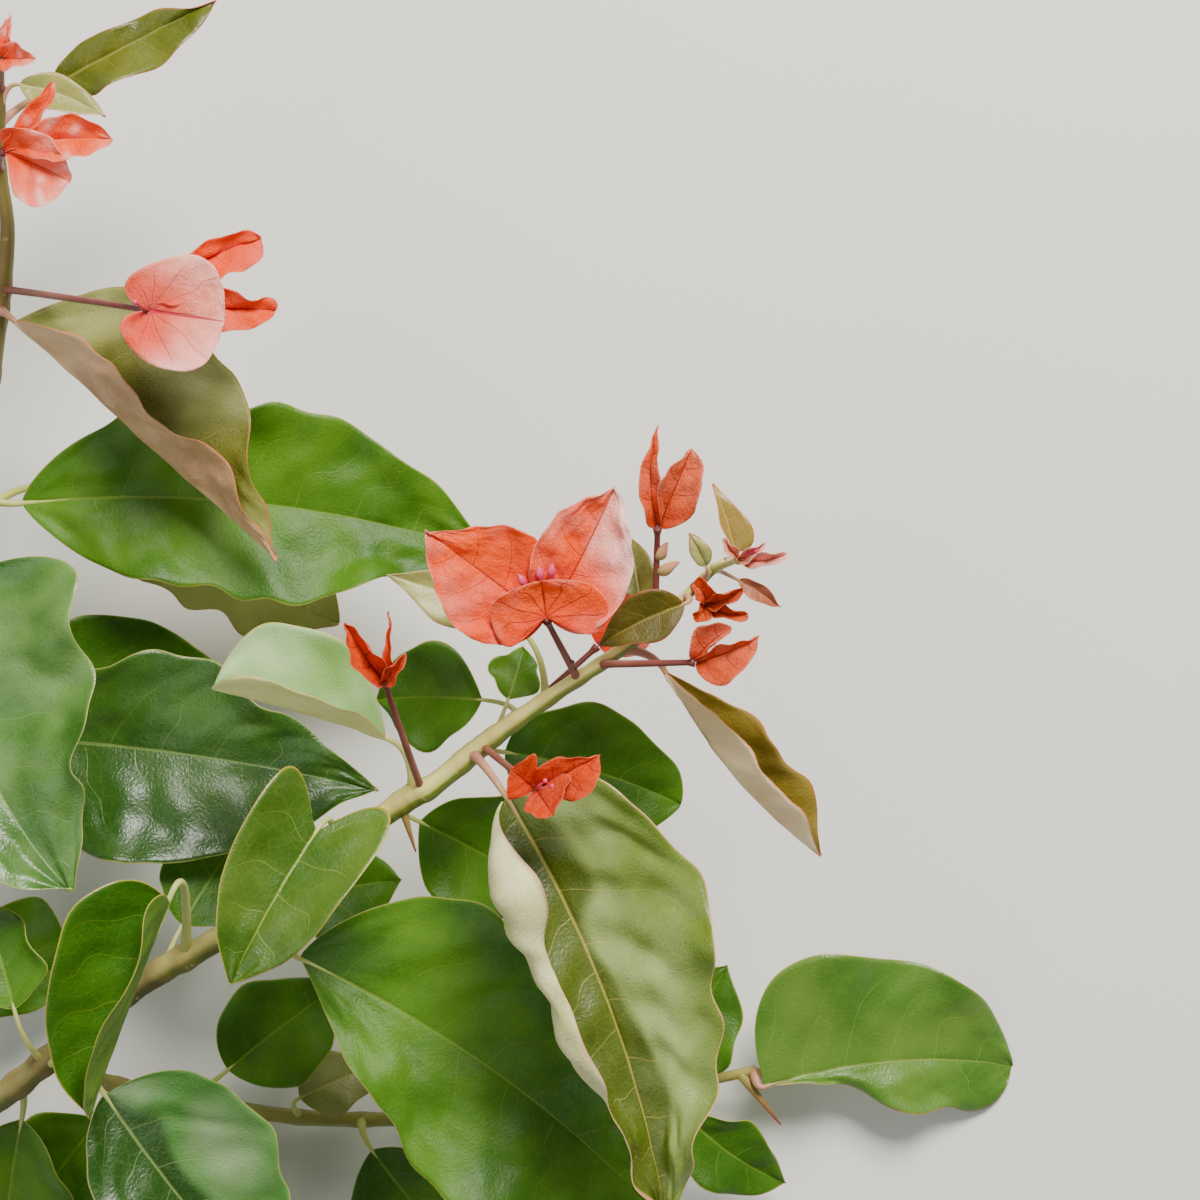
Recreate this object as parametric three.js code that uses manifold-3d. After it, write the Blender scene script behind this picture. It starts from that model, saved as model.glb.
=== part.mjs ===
// Cut flowering branch of a bougainvillea, lying on a flat floor.
// Millimetres, +Z up. The branch lies along the XY plane, the flowering tip towards +X and +Y.
import * as THREE from 'three';
import Module from 'manifold-3d';

const wasm = await Module();
wasm.setup();
const { Manifold, Mesh } = wasm;

// Driving sizes
const CLEARANCE = 0.35;          // free space left between a petiole or stalk and its limb
const LEAF_THICKNESS = 0.6;      // thinnest solid of a leaf
const LEAF_THICKNESS_RATIO = 0.0106;
const BRACT_THICKNESS = 0.5;
const PETIOLE_RADIUS = [1.1, 0.6];
const STALK_RADIUS = [0.8, 0.65];
const KNOB_RADIUS = 1.2;
// Steps along and across half a leaf, by its length
const LEAF_STEPS = [[90, 8, 3], [60, 7, 3], [36, 5, 3], [22, 5, 2], [12, 4, 2], [0, 3, 2]];
const BRACT_START = 0.4;         // a bract's rib starts this far from the middle of the knob
const CENTRE = [-46.1, -16, 2];   // middle of the outline and floor level, moved to the origin

const COLOURS = {
  cane: 0x8c8a52, upright: 0x6b5a36, low: 0x86884c,
  leaf: 0x4d8a2b, young_leaf: 0x8b8a3c, bract: 0xe8694a, dark_bract: 0xb8442f,
};

// Limbs: points on the middle line and the radius at each, from the cut or fork to the tip
const SHOOTS = {
  cane: {
    rings: 24, sides: 8,
    points: [
      [-187, -147, 5, 3.4], [-152, -122, 34, 3.1], [-134, -111, 46, 2.9], [-119, -99, 53, 2.8],
      [-99, -83, 60, 2.7], [-82, -73, 66, 2.6], [-62, -58, 74, 2.5], [-42, -43, 81, 2.4],
      [-35, -39, 84, 2.3], [-24, -30, 88, 2], [-13, -22, 92, 1.7], [-4, -16, 95, 1.5],
      [2, -12, 96, 1.35], [10, -6, 97, 1.15], [17, 0, 98, 1], [23, 6, 100, 0.9], [26, 8, 101, 0.8],
    ],
  },
  upright: {
    rings: 15, sides: 7,
    points: [
      [-157, -126, 30, 2.4], [-154, -116, 34, 2.4], [-151, -90, 38, 2.3], [-146, -45, 43, 2.2],
      [-140, 0, 50, 2.1], [-135, 40, 56, 2], [-131, 66, 60, 1.9], [-129, 81, 64, 1.6],
      [-130, 95, 68, 1.3], [-129, 110, 72, 1],
    ],
  },
  low: {
    rings: 12, sides: 6,
    points: [
      [-121, -100, 52, 2], [-115, -107, 40, 1.9], [-103, -112, 30, 1.8], [-65, -120, 18, 1.7],
      [-19, -119, 14, 1.5], [14, -114, 14, 1.4], [36, -109, 17, 1.1],
    ],
  },
};

const THORNS = [
  { on: 'low', at: 0.98, length: 15, heading: -52, rise: 14, radius: 1.3 },
  { on: 'cane', at: 0.69, length: 11, heading: -74, rise: 4, radius: 1 },
];

// Leaves. petiole: length, heading, rise. Pairs are left and right of the rib.
const LEAF = {
  roll: 0, twist: 0, fold: [12, 12], curl: [10, 10], power: [1, 1], wave: [1.2, 1.2], waves: 2, phase: 0,
  heart: [0, 0], shape: [[0.7, 1.1], [0.7, 1.1]], furl: [0, 0],
};
const LEAVES = [
  { name: 'front_long', on: 'cane', at: 0.76, petiole: [16.5, -49, 46], length: 99,
    width: [28, 26.5], heading: -58, rise: 1, sweep: -24, droop: 12, fold: [8, 14], curl: [18, 175],
    power: [1, 2.3], furl: [0, 0.45], wave: [3, 2.8], waves: 2.9, phase: 0.92,
    shape: [[0.42, 1.05], [0.55, 1.45]], tone: 0.15 },
  { name: 'cream_folded', on: 'cane', at: 0.7, petiole: [14.5, 112, 21], length: 38, width: [17, 19],
    heading: 161, rise: 8, sweep: 6, droop: 10, fold: [100, 6], curl: [14, 20],
    shape: [[0.9, 0.65], [0.9, 0.65]], wave: [0.6, 0.8], waves: 1.5, phase: 0.2, tone: 0.35 },
  { name: 'heart', on: 'cane', at: 0.62, petiole: [18, 103, 68], length: 37, width: [15, 16],
    heading: -123, rise: 22, sweep: 8, droop: 20, fold: [14, 18], curl: [20, 24], heart: [0.4, 0.3],
    shape: [[0.5, 0.95], [0.4, 0.9]], wave: [0.8, 0.8], waves: 1.6, phase: 0.5, tone: 0.25 },
  { name: 'cupped', on: 'cane', at: 0.47, petiole: [29, 92, 60], length: 51, width: [16, 21],
    heading: -111, rise: -1, sweep: 0, droop: 16, fold: [93, 14], curl: [10, 40], heart: [0.1, 0.12],
    shape: [[0.5, 0.85], [0.5, 0.85]], tone: 0.05 },
  { name: 'low_left', on: 'cane', at: 0.32, petiole: [20.5, -19, 38], length: 66, width: [28, 16],
    heading: -57, rise: -4, sweep: 6, droop: 24, fold: [8, 20], curl: [20, 30],
    shape: [[0.4, 0.9], [0.6, 1]], tone: 0 },
  { name: 'edge_long', on: 'upright', at: 0.59, petiole: [16.5, -112, 59], length: 76,
    width: [33, 26], heading: -91, rise: -1, sweep: 46, droop: -8, fold: [12, 12], curl: [20, 30],
    wave: [3.2, 2.4], waves: 2.6, phase: 0.5, heart: [0.12, 0.05], shape: [[0.35, 0.8], [0.5, 0.9]],
    tone: 0 },
  { name: 'back_broad', on: 'upright', at: 0.37, petiole: [17, 26, 0], length: 82, width: [21, 27],
    heading: -2, rise: 12, sweep: -12, droop: 18, fold: [8, 10], curl: [15, 15], tone: 0.05 },
  { name: 'back_shade', on: 'upright', at: 0.46, petiole: [15.5, 9, -47], length: 57,
    width: [15, 15], heading: -4, rise: 0, sweep: -14, droop: 16, fold: [8, 10], tone: 0 },
  { name: 'upper_broad', on: 'upright', at: 0.63, petiole: [9.5, -9, -9], length: 104,
    width: [23, 22], heading: 6, rise: 4, sweep: -24, droop: 16, fold: [8, 10], curl: [12, 12],
    wave: [1.2, 1.8], waves: 2.4, phase: 0.2, shape: [[0.75, 0.85], [0.75, 0.85]], tone: 0 },
  { name: 'upper_folded', on: 'upright', at: 0.8, petiole: [8.5, -33, 50], length: 77,
    width: [30, 16], heading: -43, rise: 6, sweep: 2, droop: 10, fold: [14, 116], curl: [20, 10],
    wave: [2.6, 1.4], waves: 2.2, phase: 0.3, shape: [[0.9, 1.4], [0.75, 1]], tone: 0.6 },
  { name: 'crown', on: 'upright', at: 0.97, petiole: [15.5, 38, -16], length: 39, width: [5.2, 9.5],
    heading: 27, rise: 8, sweep: 0, droop: 10, fold: [10, 20], curl: [10, 20], wave: [1, 1.2],
    waves: 2.2, phase: 0.3, shape: [[0.4, 1], [0.7, 0.85]], tone: 0.65 },
  { name: 'crown_narrow', on: 'upright', at: 0.98, petiole: [7.5, 50, 17], length: 20,
    width: [4.2, 4.4], heading: -9, rise: 6, sweep: -24, droop: 12, fold: [14, 22], curl: [12, 16],
    wave: [0.5, 0.4], waves: 1.5, phase: 0.2, tone: 0.6 },
  { name: 'hanging_narrow', on: 'cane', at: 0.9, petiole: [10.5, -29, -13], length: 51,
    width: [13, 11], heading: -63, rise: 6, sweep: 26, droop: 16, fold: [24, 112], curl: [20, 10],
    shape: [[0.95, 0.9], [0.95, 0.9]], wave: [1.4, 1.3], waves: 2.1, phase: 0.1, tone: 0.85 },
  { name: 'red_edged', on: 'cane', at: 0.96, petiole: [5, -107, 71], length: 20, width: [5.5, 6],
    heading: -161, rise: 5, sweep: 14, droop: 16, fold: [15, 15], wave: [0.5, 0.4], waves: 1.5,
    phase: 0.2, tone: 0.8 },
  { name: 'tip_up', on: 'cane', at: 1, petiole: [2.5, 46, 0], length: 15, width: [2.6, 5],
    heading: 101, rise: 5, sweep: 12, droop: 10, fold: [30, 16], curl: [30, 10],
    shape: [[0.5, 1.2], [0.3, 1.2]], wave: [0.2, 0.3], waves: 1.5, phase: 0.1, tone: 0.8 },
  { name: 'tip_left', on: 'cane', at: 0.98, petiole: [5, 86, 63], length: 8, width: [2.2, 2.4],
    heading: 113, rise: 20, sweep: 10, droop: 10, fold: [24, 24], wave: [0.2, 0.2], waves: 1.5,
    phase: 0, tone: 0.7 },
  { name: 'tip_right', on: 'cane', at: 0.99, petiole: [8.5, -25, -48], length: 11, width: [2.4, 2.2],
    heading: -27, rise: -11, sweep: -10, droop: 10, fold: [30, 30], wave: [0.2, 0.2], waves: 1.5,
    phase: 0, tone: 1 },
  { name: 'small_pale', on: 'cane', at: 0.83, petiole: [21.5, 117, -29], length: 27, width: [6, 6],
    heading: 154, rise: 9, sweep: 10, droop: 10, fold: [15, 15], wave: [0.6, 0.5], waves: 1.5,
    phase: 0.4, tone: 0.5 },
  { name: 'behind_bloom', on: 'cane', at: 0.91, petiole: [10.5, 80, -39], length: 15,
    width: [4.4, 4], heading: 96, rise: -11, sweep: 8, droop: 10, fold: [15, 15], wave: [0.5, 0.3],
    waves: 1.5, phase: 0.3, tone: 0.6 },
  { name: 'back_short', on: 'cane', at: 0.78, petiole: [13.5, 69, -52], length: 13, width: [6, 6],
    heading: 71, rise: -21, sweep: 6, droop: 10, fold: [12, 12], tone: 0.2 },
  { name: 'back_dark', on: 'cane', at: 0.75, petiole: [25.5, 6, -71], length: 41, width: [15, 15],
    heading: -8, rise: -2, sweep: -18, droop: 14, shape: [[0.55, 0.7], [0.55, 0.7]], tone: 0 },
  { name: 'lower_broad', on: 'cane', at: 0.53, petiole: [14.5, -35, -8], length: 96, width: [30, 27],
    heading: -24, rise: 4, sweep: -24, droop: 18, fold: [6, 8], curl: [14, 16], wave: [2.4, 2.8],
    waves: 2.4, phase: 0.3, shape: [[0.7, 1.1], [1.15, 0.9]], tone: 0 },
  { name: 'right_broad', on: 'low', at: 1, petiole: [5, -60, 39], length: 63, width: [28, 12.5],
    heading: 17, rise: -7, sweep: -30, droop: 20, fold: [8, 4], curl: [12, 8], wave: [2.4, 2.2],
    waves: 2.2, phase: 0.55, shape: [[0.34, 0.75], [1.6, 0.5]], tone: 0 },
  { name: 'right_behind', on: 'low', at: 0.84, petiole: [15.5, 42, 53], length: 29, width: [12, 12],
    heading: 67, rise: 12, sweep: -10, droop: 16, tone: 0 },
  { name: 'right_low', on: 'low', at: 0.89, petiole: [10.5, -61, 49], length: 30, width: [9, 10],
    heading: -48, rise: -13, sweep: 24, droop: 14, tone: 0 },
  { name: 'edge_short', on: 'cane', at: 0.32, petiole: [17.5, 110, 37], length: 25, width: [8, 10],
    heading: 104, rise: -4, sweep: 10, droop: 14, tone: 0.1 },
  { name: 'back_upper', on: 'upright', at: 0.61, petiole: [23.5, 20, -39], length: 69,
    width: [16, 12], heading: -23, rise: -3, sweep: -6, droop: 14, shape: [[1, 0.8], [1, 0.8]],
    tone: 0.3 },
  { name: 'back_middle', on: 'cane', at: 0.69, petiole: [22, -62, -74], length: 40, width: [15, 15],
    heading: -27, rise: -19, sweep: -10, droop: 14, tone: 0.1 },
  { name: 'back_twist', on: 'cane', at: 0.8, petiole: [23.5, 151, -69], length: 28, width: [12, 12],
    heading: -185, rise: -24, sweep: 12, droop: 14, tone: 0.1 },
  { name: 'low_a', on: 'low', at: 0.23, petiole: [14, 34, 21], length: 33, width: [13, 13],
    heading: 41, rise: 4, sweep: -8, droop: 14, tone: 0 },
  { name: 'low_b', on: 'low', at: 0.39, petiole: [7.5, 88, 45], length: 21, width: [8, 8],
    heading: 26, rise: -5, sweep: -8, droop: 14, tone: 0.5 },
  { name: 'low_c', on: 'low', at: 0.47, petiole: [10, -64, 49], length: 38, width: [14, 14],
    heading: -56, rise: -11, sweep: 8, droop: 14, tone: 0.1 },
  { name: 'low_d', on: 'low', at: 0.21, petiole: [10.5, -63, -23], length: 47, width: [17, 17],
    heading: -74, rise: -17, sweep: 8, droop: 14, tone: 0.1 },
  { name: 'low_edge', on: 'cane', at: 0.29, petiole: [16, -98, -51], length: 52, width: [15, 15],
    heading: -105, rise: -23, sweep: 8, droop: 14, tone: 0 },
  { name: 'low_e', on: 'low', at: 0.55, petiole: [21, 75, 64], length: 33, width: [13, 13],
    heading: 76, rise: 17, sweep: -8, droop: 14, tone: 0.1 },
  { name: 'low_f', on: 'low', at: 0.61, petiole: [12.5, -42, 66], length: 33, width: [14, 14],
    heading: -37, rise: 0, sweep: 10, droop: 14, tone: 0 },
  { name: 'back_lower', on: 'cane', at: 0.55, petiole: [22, -9, -82], length: 28, width: [13, 14],
    heading: 13, rise: -19, sweep: -10, droop: 14, tone: 0.15 },
  { name: 'low_g', on: 'low', at: 0.14, petiole: [13, -121, -36], length: 30, width: [13, 13],
    heading: -132, rise: -8, sweep: 10, droop: 14, tone: 0 },
  { name: 'edge_low', on: 'upright', at: 0.22, petiole: [15, -34, -66], length: 27, width: [15, 15],
    heading: -19, rise: -2, sweep: -10, droop: 14, tone: 0 },
  { name: 'behind_cane', on: 'cane', at: 0.45, petiole: [14.5, 74, -53], length: 24, width: [11, 11],
    heading: 62, rise: -19, sweep: -8, droop: 10, tone: 0.1 },
  { name: 'prop', on: 'upright', at: 0.74, petiole: [17, 154, -52], length: 59, width: [17, 17],
    heading: 151, rise: -36, sweep: -8, droop: 20, tone: 0.1 },
];

// Blooms: a stalk with coloured bracts round small flower tubes
const BRACT = {
  roll: 0, twist: 0, fold: [8, 8], curl: [10, 10], power: [1, 1], wave: [0.5, 0.5], waves: 1.5, phase: 0,
  heart: [0.04, 0.04], shape: [[0.6, 0.85], [0.6, 0.85]], furl: [0, 0],
};
const BLOOMS = [
  {
    name: 'main', on: 'cane', at: 0.86, stalk: [20.5, 117, 48], bow: 2, dark: false,
    flowers: [[12.5, 121, 28], [12.5, 98, 27], [13, 84, 26]],
    bracts: [
      { length: 31, width: [12.4, 13], heading: 143, rise: 7, sweep: 0, droop: -12, fold: [4, 4],
        curl: [14, 22], heart: [0.02, 0], shape: [[0.5, 0.8], [1.7, 1.9]], wave: [0.5, 0.9],
        waves: 1.5, phase: 0.2 },
      { length: 31, width: [10.8, 12.2], heading: 60, rise: 8, sweep: 6, droop: -10, fold: [8, 4],
        curl: [28, 20], heart: [0.02, 0.04], shape: [[0.9, 1], [0.45, 0.8]], wave: [0.8, 0.5],
        waves: 1.5, phase: 0.6 },
      { length: 9, width: [11.4, 12.8], heading: 97, rise: -5, sweep: 0, droop: -60, raised: 3.6,
        fold: [18, 18], curl: [-22, -22], heart: [0.66, 0.6], shape: [[0.4, 0.45], [0.4, 0.45]],
        wave: [0.5, 0.5], waves: 1.5, phase: 0 },
    ],
  },
  {
    name: 'young', on: 'cane', at: 0.93, stalk: [22.5, 89, 29], bow: 0, dark: false, flowers: [],
    bracts: [
      { length: 21, width: [3.4, 3.2], heading: 105, rise: 19, sweep: -30, droop: 16, fold: [24, 40],
        curl: [20, 20], shape: [[0.5, 1.1], [0.6, 0.9]], wave: [0.2, 0.2], waves: 1.5, phase: 0 },
      { length: 18, width: [4.3, 6.2], heading: 65, rise: 28, sweep: 4, droop: 16, fold: [30, 14],
        curl: [20, 24], shape: [[1.4, 1], [0.7, 0.6]] },
    ],
  },
  {
    name: 'bud', on: 'cane', at: 0.99, stalk: [11, 20, 64], bow: 0, dark: false,
    flowers: [[6, 30, 40]],
    bracts: [
      { length: 7, width: [3, 3], heading: 24, rise: 38, sweep: 20, droop: 30, fold: [40, 40],
        curl: [50, 50], shape: [[0.5, 0.6], [0.5, 0.6]] },
      { length: 10, width: [3.2, 3.2], heading: -12, rise: 27, sweep: 40, droop: 30, fold: [36, 36],
        curl: [50, 50], shape: [[0.8, 0.5], [0.8, 0.5]] },
      { length: 5, width: [2.2, 2.2], heading: 128, rise: 9, sweep: 0, droop: 20, fold: [40, 40],
        curl: [40, 40], shape: [[0.5, 0.6], [0.5, 0.6]] },
    ],
  },
  {
    name: 'curled', on: 'cane', at: 0.97, stalk: [13, -62, 72], bow: 0, dark: true, flowers: [],
    bracts: [
      { length: 5, width: [3.6, 3.6], heading: 94, rise: 29, sweep: 60, droop: 40, fold: [20, 20],
        curl: [80, 60], shape: [[0.5, 0.4], [0.5, 0.4]] },
      { length: 10, width: [3.4, 3], heading: 4, rise: 46, sweep: 44, droop: 20, fold: [40, 30],
        curl: [40, 60], shape: [[0.6, 0.4], [0.6, 0.4]] },
      { length: 9, width: [2.6, 2.6], heading: -37, rise: 28, sweep: 50, droop: 20, fold: [40, 30],
        curl: [40, 40], shape: [[0.6, 0.3], [0.6, 0.3]] },
      { length: 4, width: [3, 3], heading: -105, rise: 27, sweep: -50, droop: 30, fold: [30, 30],
        curl: [50, 60], shape: [[0.5, 0.4], [0.5, 0.4]] },
    ],
  },
  {
    name: 'half_open', on: 'cane', at: 0.88, stalk: [25, 2, 40], bow: 6, dark: false, flowers: [],
    bracts: [
      { length: 15, width: [3.4, 6.4], heading: 14, rise: 34, sweep: 16, droop: 20, fold: [34, 14],
        curl: [40, 24], shape: [[0.8, 0.9], [0.7, 0.9]] },
      { length: 11, width: [4.6, 2.6], heading: 60, rise: 33, sweep: -34, droop: 20, fold: [20, 44],
        curl: [30, 40], shape: [[0.7, 0.5], [0.7, 0.5]] },
    ],
  },
  {
    name: 'lower', on: 'cane', at: 0.77, stalk: [28, -34, 60], bow: 2, dark: true,
    flowers: [[4.5, 42, 44], [5.5, 12, 40]],
    bracts: [
      { length: 8, width: [5.2, 6], heading: 138, rise: 44, sweep: 0, droop: 10, fold: [16, 16],
        curl: [10, 10], heart: [0, 0], shape: [[0.9, 0.5], [1.5, 0.2]] },
      { length: 16, width: [4.8, 7.6], heading: 29, rise: 32, sweep: 0, droop: 20, fold: [24, 20],
        curl: [16, 24], heart: [0, 0], shape: [[0.6, 1.3], [1.6, 0.9]] },
      { length: 11, width: [7.6, 4.4], heading: -51, rise: 48, sweep: 0, droop: -20, fold: [10, 14],
        curl: [10, 10], heart: [0, 0], shape: [[0.5, 0.5], [0.5, 0.5]] },
    ],
  },
  {
    name: 'red_bud', on: 'cane', at: 0.71, stalk: [35, 105, 46], bow: 4, dark: true, flowers: [],
    bracts: [
      { length: 15, width: [5.4, 5.4], heading: 127, rise: 24, sweep: -10, droop: 16, fold: [34, 34],
        curl: [50, 50], shape: [[0.5, 0.7], [0.6, 0.7]] },
      { length: 15, width: [2.4, 2.6], heading: 80, rise: 23, sweep: 12, droop: 16, fold: [56, 50],
        curl: [20, 20], shape: [[0.4, 1.1], [0.4, 1.1]] },
      { length: 9, width: [3.4, 3], heading: 41, rise: 41, sweep: 30, droop: 16, fold: [40, 40],
        curl: [40, 40], shape: [[0.5, 0.6], [0.5, 0.6]] },
    ],
  },
  {
    name: 'round', on: 'upright', at: 0.82, stalk: [52.5, -12, 44], bow: 4, dark: false,
    flowers: [[6, 150, 60]],
    bracts: [
      { length: 16, width: [12.6, 12.4], heading: -9, rise: 14, sweep: 0, droop: 14, fold: [4, 6],
        curl: [10, 12], heart: [0.5, 0.48], shape: [[0.85, 0.55], [0.85, 0.55]] },
      { length: 28, width: [4.2, 6.8], heading: 53, rise: -1, sweep: -40, droop: 10, fold: [40, 16],
        curl: [16, 20], heart: [0, 0], shape: [[0.8, 0.35], [0.8, 0.3]] },
      { length: 26, width: [4.8, 5.8], heading: 4, rise: -6, sweep: -6, droop: 10, fold: [30, 16],
        curl: [20, 16], heart: [0, 0], shape: [[0.6, 0.35], [0.5, 0.55]], wave: [1.6, 0.4],
        waves: 1.8, phase: 0.9 },
    ],
  },
  {
    name: 'crown', on: 'upright', at: 0.93, stalk: [22, 7, 78], bow: 2, dark: false, flowers: [],
    bracts: [
      { length: 19, width: [3.2, 2.6], heading: 29, rise: 24, sweep: 44, droop: 16, fold: [30, 30],
        curl: [20, 20], heart: [0, 0], shape: [[0.5, 0.5], [0.5, 0.5]] },
      { length: 25, width: [5.4, 7], heading: 15, rise: 24, sweep: -22, droop: 16, fold: [24, 24],
        curl: [20, 30], heart: [0, 0], shape: [[1.2, 0.7], [1.2, 0.7]] },
      { length: 17, width: [7.6, 10], heading: -20, rise: 27, sweep: -10, droop: 20, fold: [20, 14],
        curl: [30, 20], heart: [0.12, 0], shape: [[0.4, 0.5], [1.2, 0.45]] },
    ],
  },
  {
    name: 'crown_bud', on: 'upright', at: 1, stalk: [18.5, 47, 74], bow: 0, dark: false,
    flowers: [],
    bracts: [
      { length: 9, width: [3, 3], heading: 72, rise: 22, sweep: 10, droop: 16, fold: [40, 40],
        curl: [30, 30] },
      { length: 9, width: [4, 4], heading: -10, rise: 37, sweep: 10, droop: 16, fold: [25, 25],
        curl: [30, 30] },
    ],
  },
  {
    name: 'behind', on: 'cane', at: 0.8, stalk: [24, 42, -10], bow: 0, dark: false, flowers: [],
    bracts: [
      { length: 17, width: [7, 7], heading: 38, rise: 1, sweep: 10, droop: 16, fold: [10, 10] },
    ],
  },
];

// Vectors
const RAD = Math.PI / 180;
const plus = (a, b, k = 1) => [a[0] + k * b[0], a[1] + k * b[1], a[2] + k * b[2]];
const dot = (a, b) => a[0] * b[0] + a[1] * b[1] + a[2] * b[2];
const cross = (a, b) => [a[1] * b[2] - a[2] * b[1], a[2] * b[0] - a[0] * b[2], a[0] * b[1] - a[1] * b[0]];
const size = (a) => Math.hypot(a[0], a[1], a[2]);
const unit = (a) => { const n = size(a) || 1; return [a[0] / n, a[1] / n, a[2] / n]; };
const towards = (heading, rise) => [
  Math.cos(rise * RAD) * Math.cos(heading * RAD),
  Math.cos(rise * RAD) * Math.sin(heading * RAD),
  Math.sin(rise * RAD),
];

// Smooth middle line through the points of a limb, sampled evenly by length
const SAMPLES = 400;
function middleLine(points) {
  const first = points[0].map((v, k) => 2 * v - points[1][k]);
  const last = points.at(-1).map((v, k) => 2 * v - points.at(-2)[k]);
  const p = [first, ...points, last];
  const dense = [];
  for (let i = 1; i < p.length - 2; i += 1) {
    for (let step = 0; step < 60; step += 1) {
      const t = step / 60;
      dense.push(p[i].map((b, k) => {
        const [a, c, d] = [p[i - 1][k], p[i + 1][k], p[i + 2][k]];
        const bend = (2 * a - 5 * b + 4 * c - d) * t * t + (3 * b - a - 3 * c + d) * t ** 3;
        return 0.5 * (2 * b + (c - a) * t + bend);
      }));
    }
  }
  dense.push(points.at(-1));
  const run = [0];
  for (let i = 1; i < dense.length; i += 1) run.push(run[i - 1] + size(plus(dense[i], dense[i - 1], -1)));
  const out = [];
  let j = 0;
  for (let i = 0; i < SAMPLES; i += 1) {
    const target = (run.at(-1) * i) / (SAMPLES - 1);
    while (j < run.length - 2 && run[j + 1] < target) j += 1;
    const f = Math.min(1, (target - run[j]) / (run[j + 1] - run[j]));
    out.push(dense[j].map((v, k) => v + f * (dense[j + 1][k] - v)));
  }
  return out;
}

// Closed body from corners and triangles
function body(corners, triangles) {
  return new Manifold(new Mesh({
    numProp: 3,
    vertProperties: new Float32Array(corners.flat()),
    triVerts: new Uint32Array(triangles.flat()),
  }));
}

// Round bar along a path, with a radius at each point and flat ends
function bar(path, radii, sides) {
  const corners = [];
  const triangles = [];
  let across = null;
  path.forEach((p, i) => {
    const along = unit(plus(path[Math.min(i + 1, path.length - 1)], path[Math.max(i - 1, 0)], -1));
    const guess = across ?? (Math.abs(along[2]) < 0.9 ? [0, 0, 1] : [1, 0, 0]);
    across = unit(plus(guess, along, -dot(guess, along)));
    const other = cross(along, across);
    for (let k = 0; k < sides; k += 1) {
      const a = (2 * Math.PI * k) / sides;
      corners.push(plus(plus(p, across, radii[i] * Math.cos(a)), other, radii[i] * Math.sin(a)));
    }
  });
  for (let i = 0; i < path.length - 1; i += 1) {
    for (let k = 0; k < sides; k += 1) {
      const [a, b] = [i * sides + k, i * sides + ((k + 1) % sides)];
      triangles.push([a, b, b + sides], [a, b + sides, a + sides]);
    }
  }
  const start = corners.length;
  corners.push(path[0], path.at(-1));
  const top = (path.length - 1) * sides;
  for (let k = 0; k < sides; k += 1) {
    triangles.push([start, (k + 1) % sides, k], [start + 1, top + k, top + ((k + 1) % sides)]);
  }
  return body(corners, triangles);
}

function bezier(a, b, c, steps) {
  return Array.from({ length: steps + 1 }, (_, i) => {
    const t = i / steps;
    return [0, 1, 2].map((k) => (1 - t) ** 2 * a[k] + 2 * t * (1 - t) * b[k] + t * t * c[k]);
  });
}

// Middle surface of a leaf or bract: the rib bends by sweep and droop, each half is folded up
// from the rib and curls on towards its margin, the outline swells and narrows as s^a (1 - s)^b,
// and where it is hardly wider than thick the fold opens flat
function blade(start, given, rows, columns, defaults, thickness) {
  const q = { ...defaults, ...given };
  const steps = 160;
  const path = [start];
  for (let i = 1; i <= steps; i += 1) {
    const s = (i - 0.5) / steps;
    const way = towards(q.heading + q.sweep * s, q.rise - q.droop * s);
    path.push(plus(path[i - 1], way, q.length / steps));
  }
  const grid = [];
  for (let i = 0; i <= rows; i += 1) {
    const s = Math.min(0.988, Math.max(0.012, (1 - Math.cos((Math.PI * i) / rows)) / 2));
    const at = Math.min(steps - 1, Math.floor(s * steps));
    const rib = plus(path[at], plus(path[at + 1], path[at], -1), s * steps - at);
    const heading = (q.heading + q.sweep * s) * RAD;
    const along = towards(q.heading + q.sweep * s, q.rise - q.droop * s);
    const level = [-Math.sin(heading), Math.cos(heading), 0];
    const over = cross(along, level);
    const roll = (q.roll + q.twist * s) * RAD;
    const left = plus(level.map((v) => v * Math.cos(roll)), over, Math.sin(roll));
    const up = plus(over.map((v) => v * Math.cos(roll)), level, -Math.sin(roll));
    const back = (s ** 0.5 * (1 - s) ** 3) / ((1 / 7) ** 0.5 * (6 / 7) ** 3);
    const row = new Array(2 * columns + 1);
    [0, 1].forEach((side) => {
      const [a, b] = q.shape[side];
      const peak = a / (a + b);
      const bulge = (s ** a * (1 - s) ** b) / (peak ** a * (1 - peak) ** b);
      const width = q.width[side] * bulge;
      const beat = 2 * Math.PI * (q.waves * s + q.phase + 0.35 * side);
      const height = q.wave[side] * bulge ** 0.8;
      const strength = 1 + q.furl[side] * (1 - 2 * s);
      const flat = Math.min(1, width / (3 * thickness)) * RAD;
      const turn = (v) => (q.fold[side] + q.curl[side] * strength * v ** q.power[side]) * flat;
      let x = 0;
      let z = 0;
      for (let k = 0; k <= columns; k += 1) {
        const v = k / columns;
        if (k > 0) {
          for (let m = 0; m < 12; m += 1) {
            const middle = turn(v - (m + 0.5) / 12 / columns);
            x += Math.cos(middle) / 12 / columns;
            z += Math.sin(middle) / 12 / columns;
          }
        }
        const bump = height * Math.sin(beat) * v * v;
        const slide = 0.5 * height * Math.cos(beat) * v * v;
        const out = x * width - bump * Math.sin(turn(v)) + slide * Math.cos(turn(v));
        const lift = z * width + bump * Math.cos(turn(v)) + slide * Math.sin(turn(v));
        const shift = -q.heart[side] * q.length * back * v ** 1.5;
        const point = plus(plus(plus(rib, left, side ? -out : out), up, lift), along, shift);
        row[columns + (side ? -k : k)] = point;
      }
    });
    grid.push(row);
  }
  return grid;
}

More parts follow.
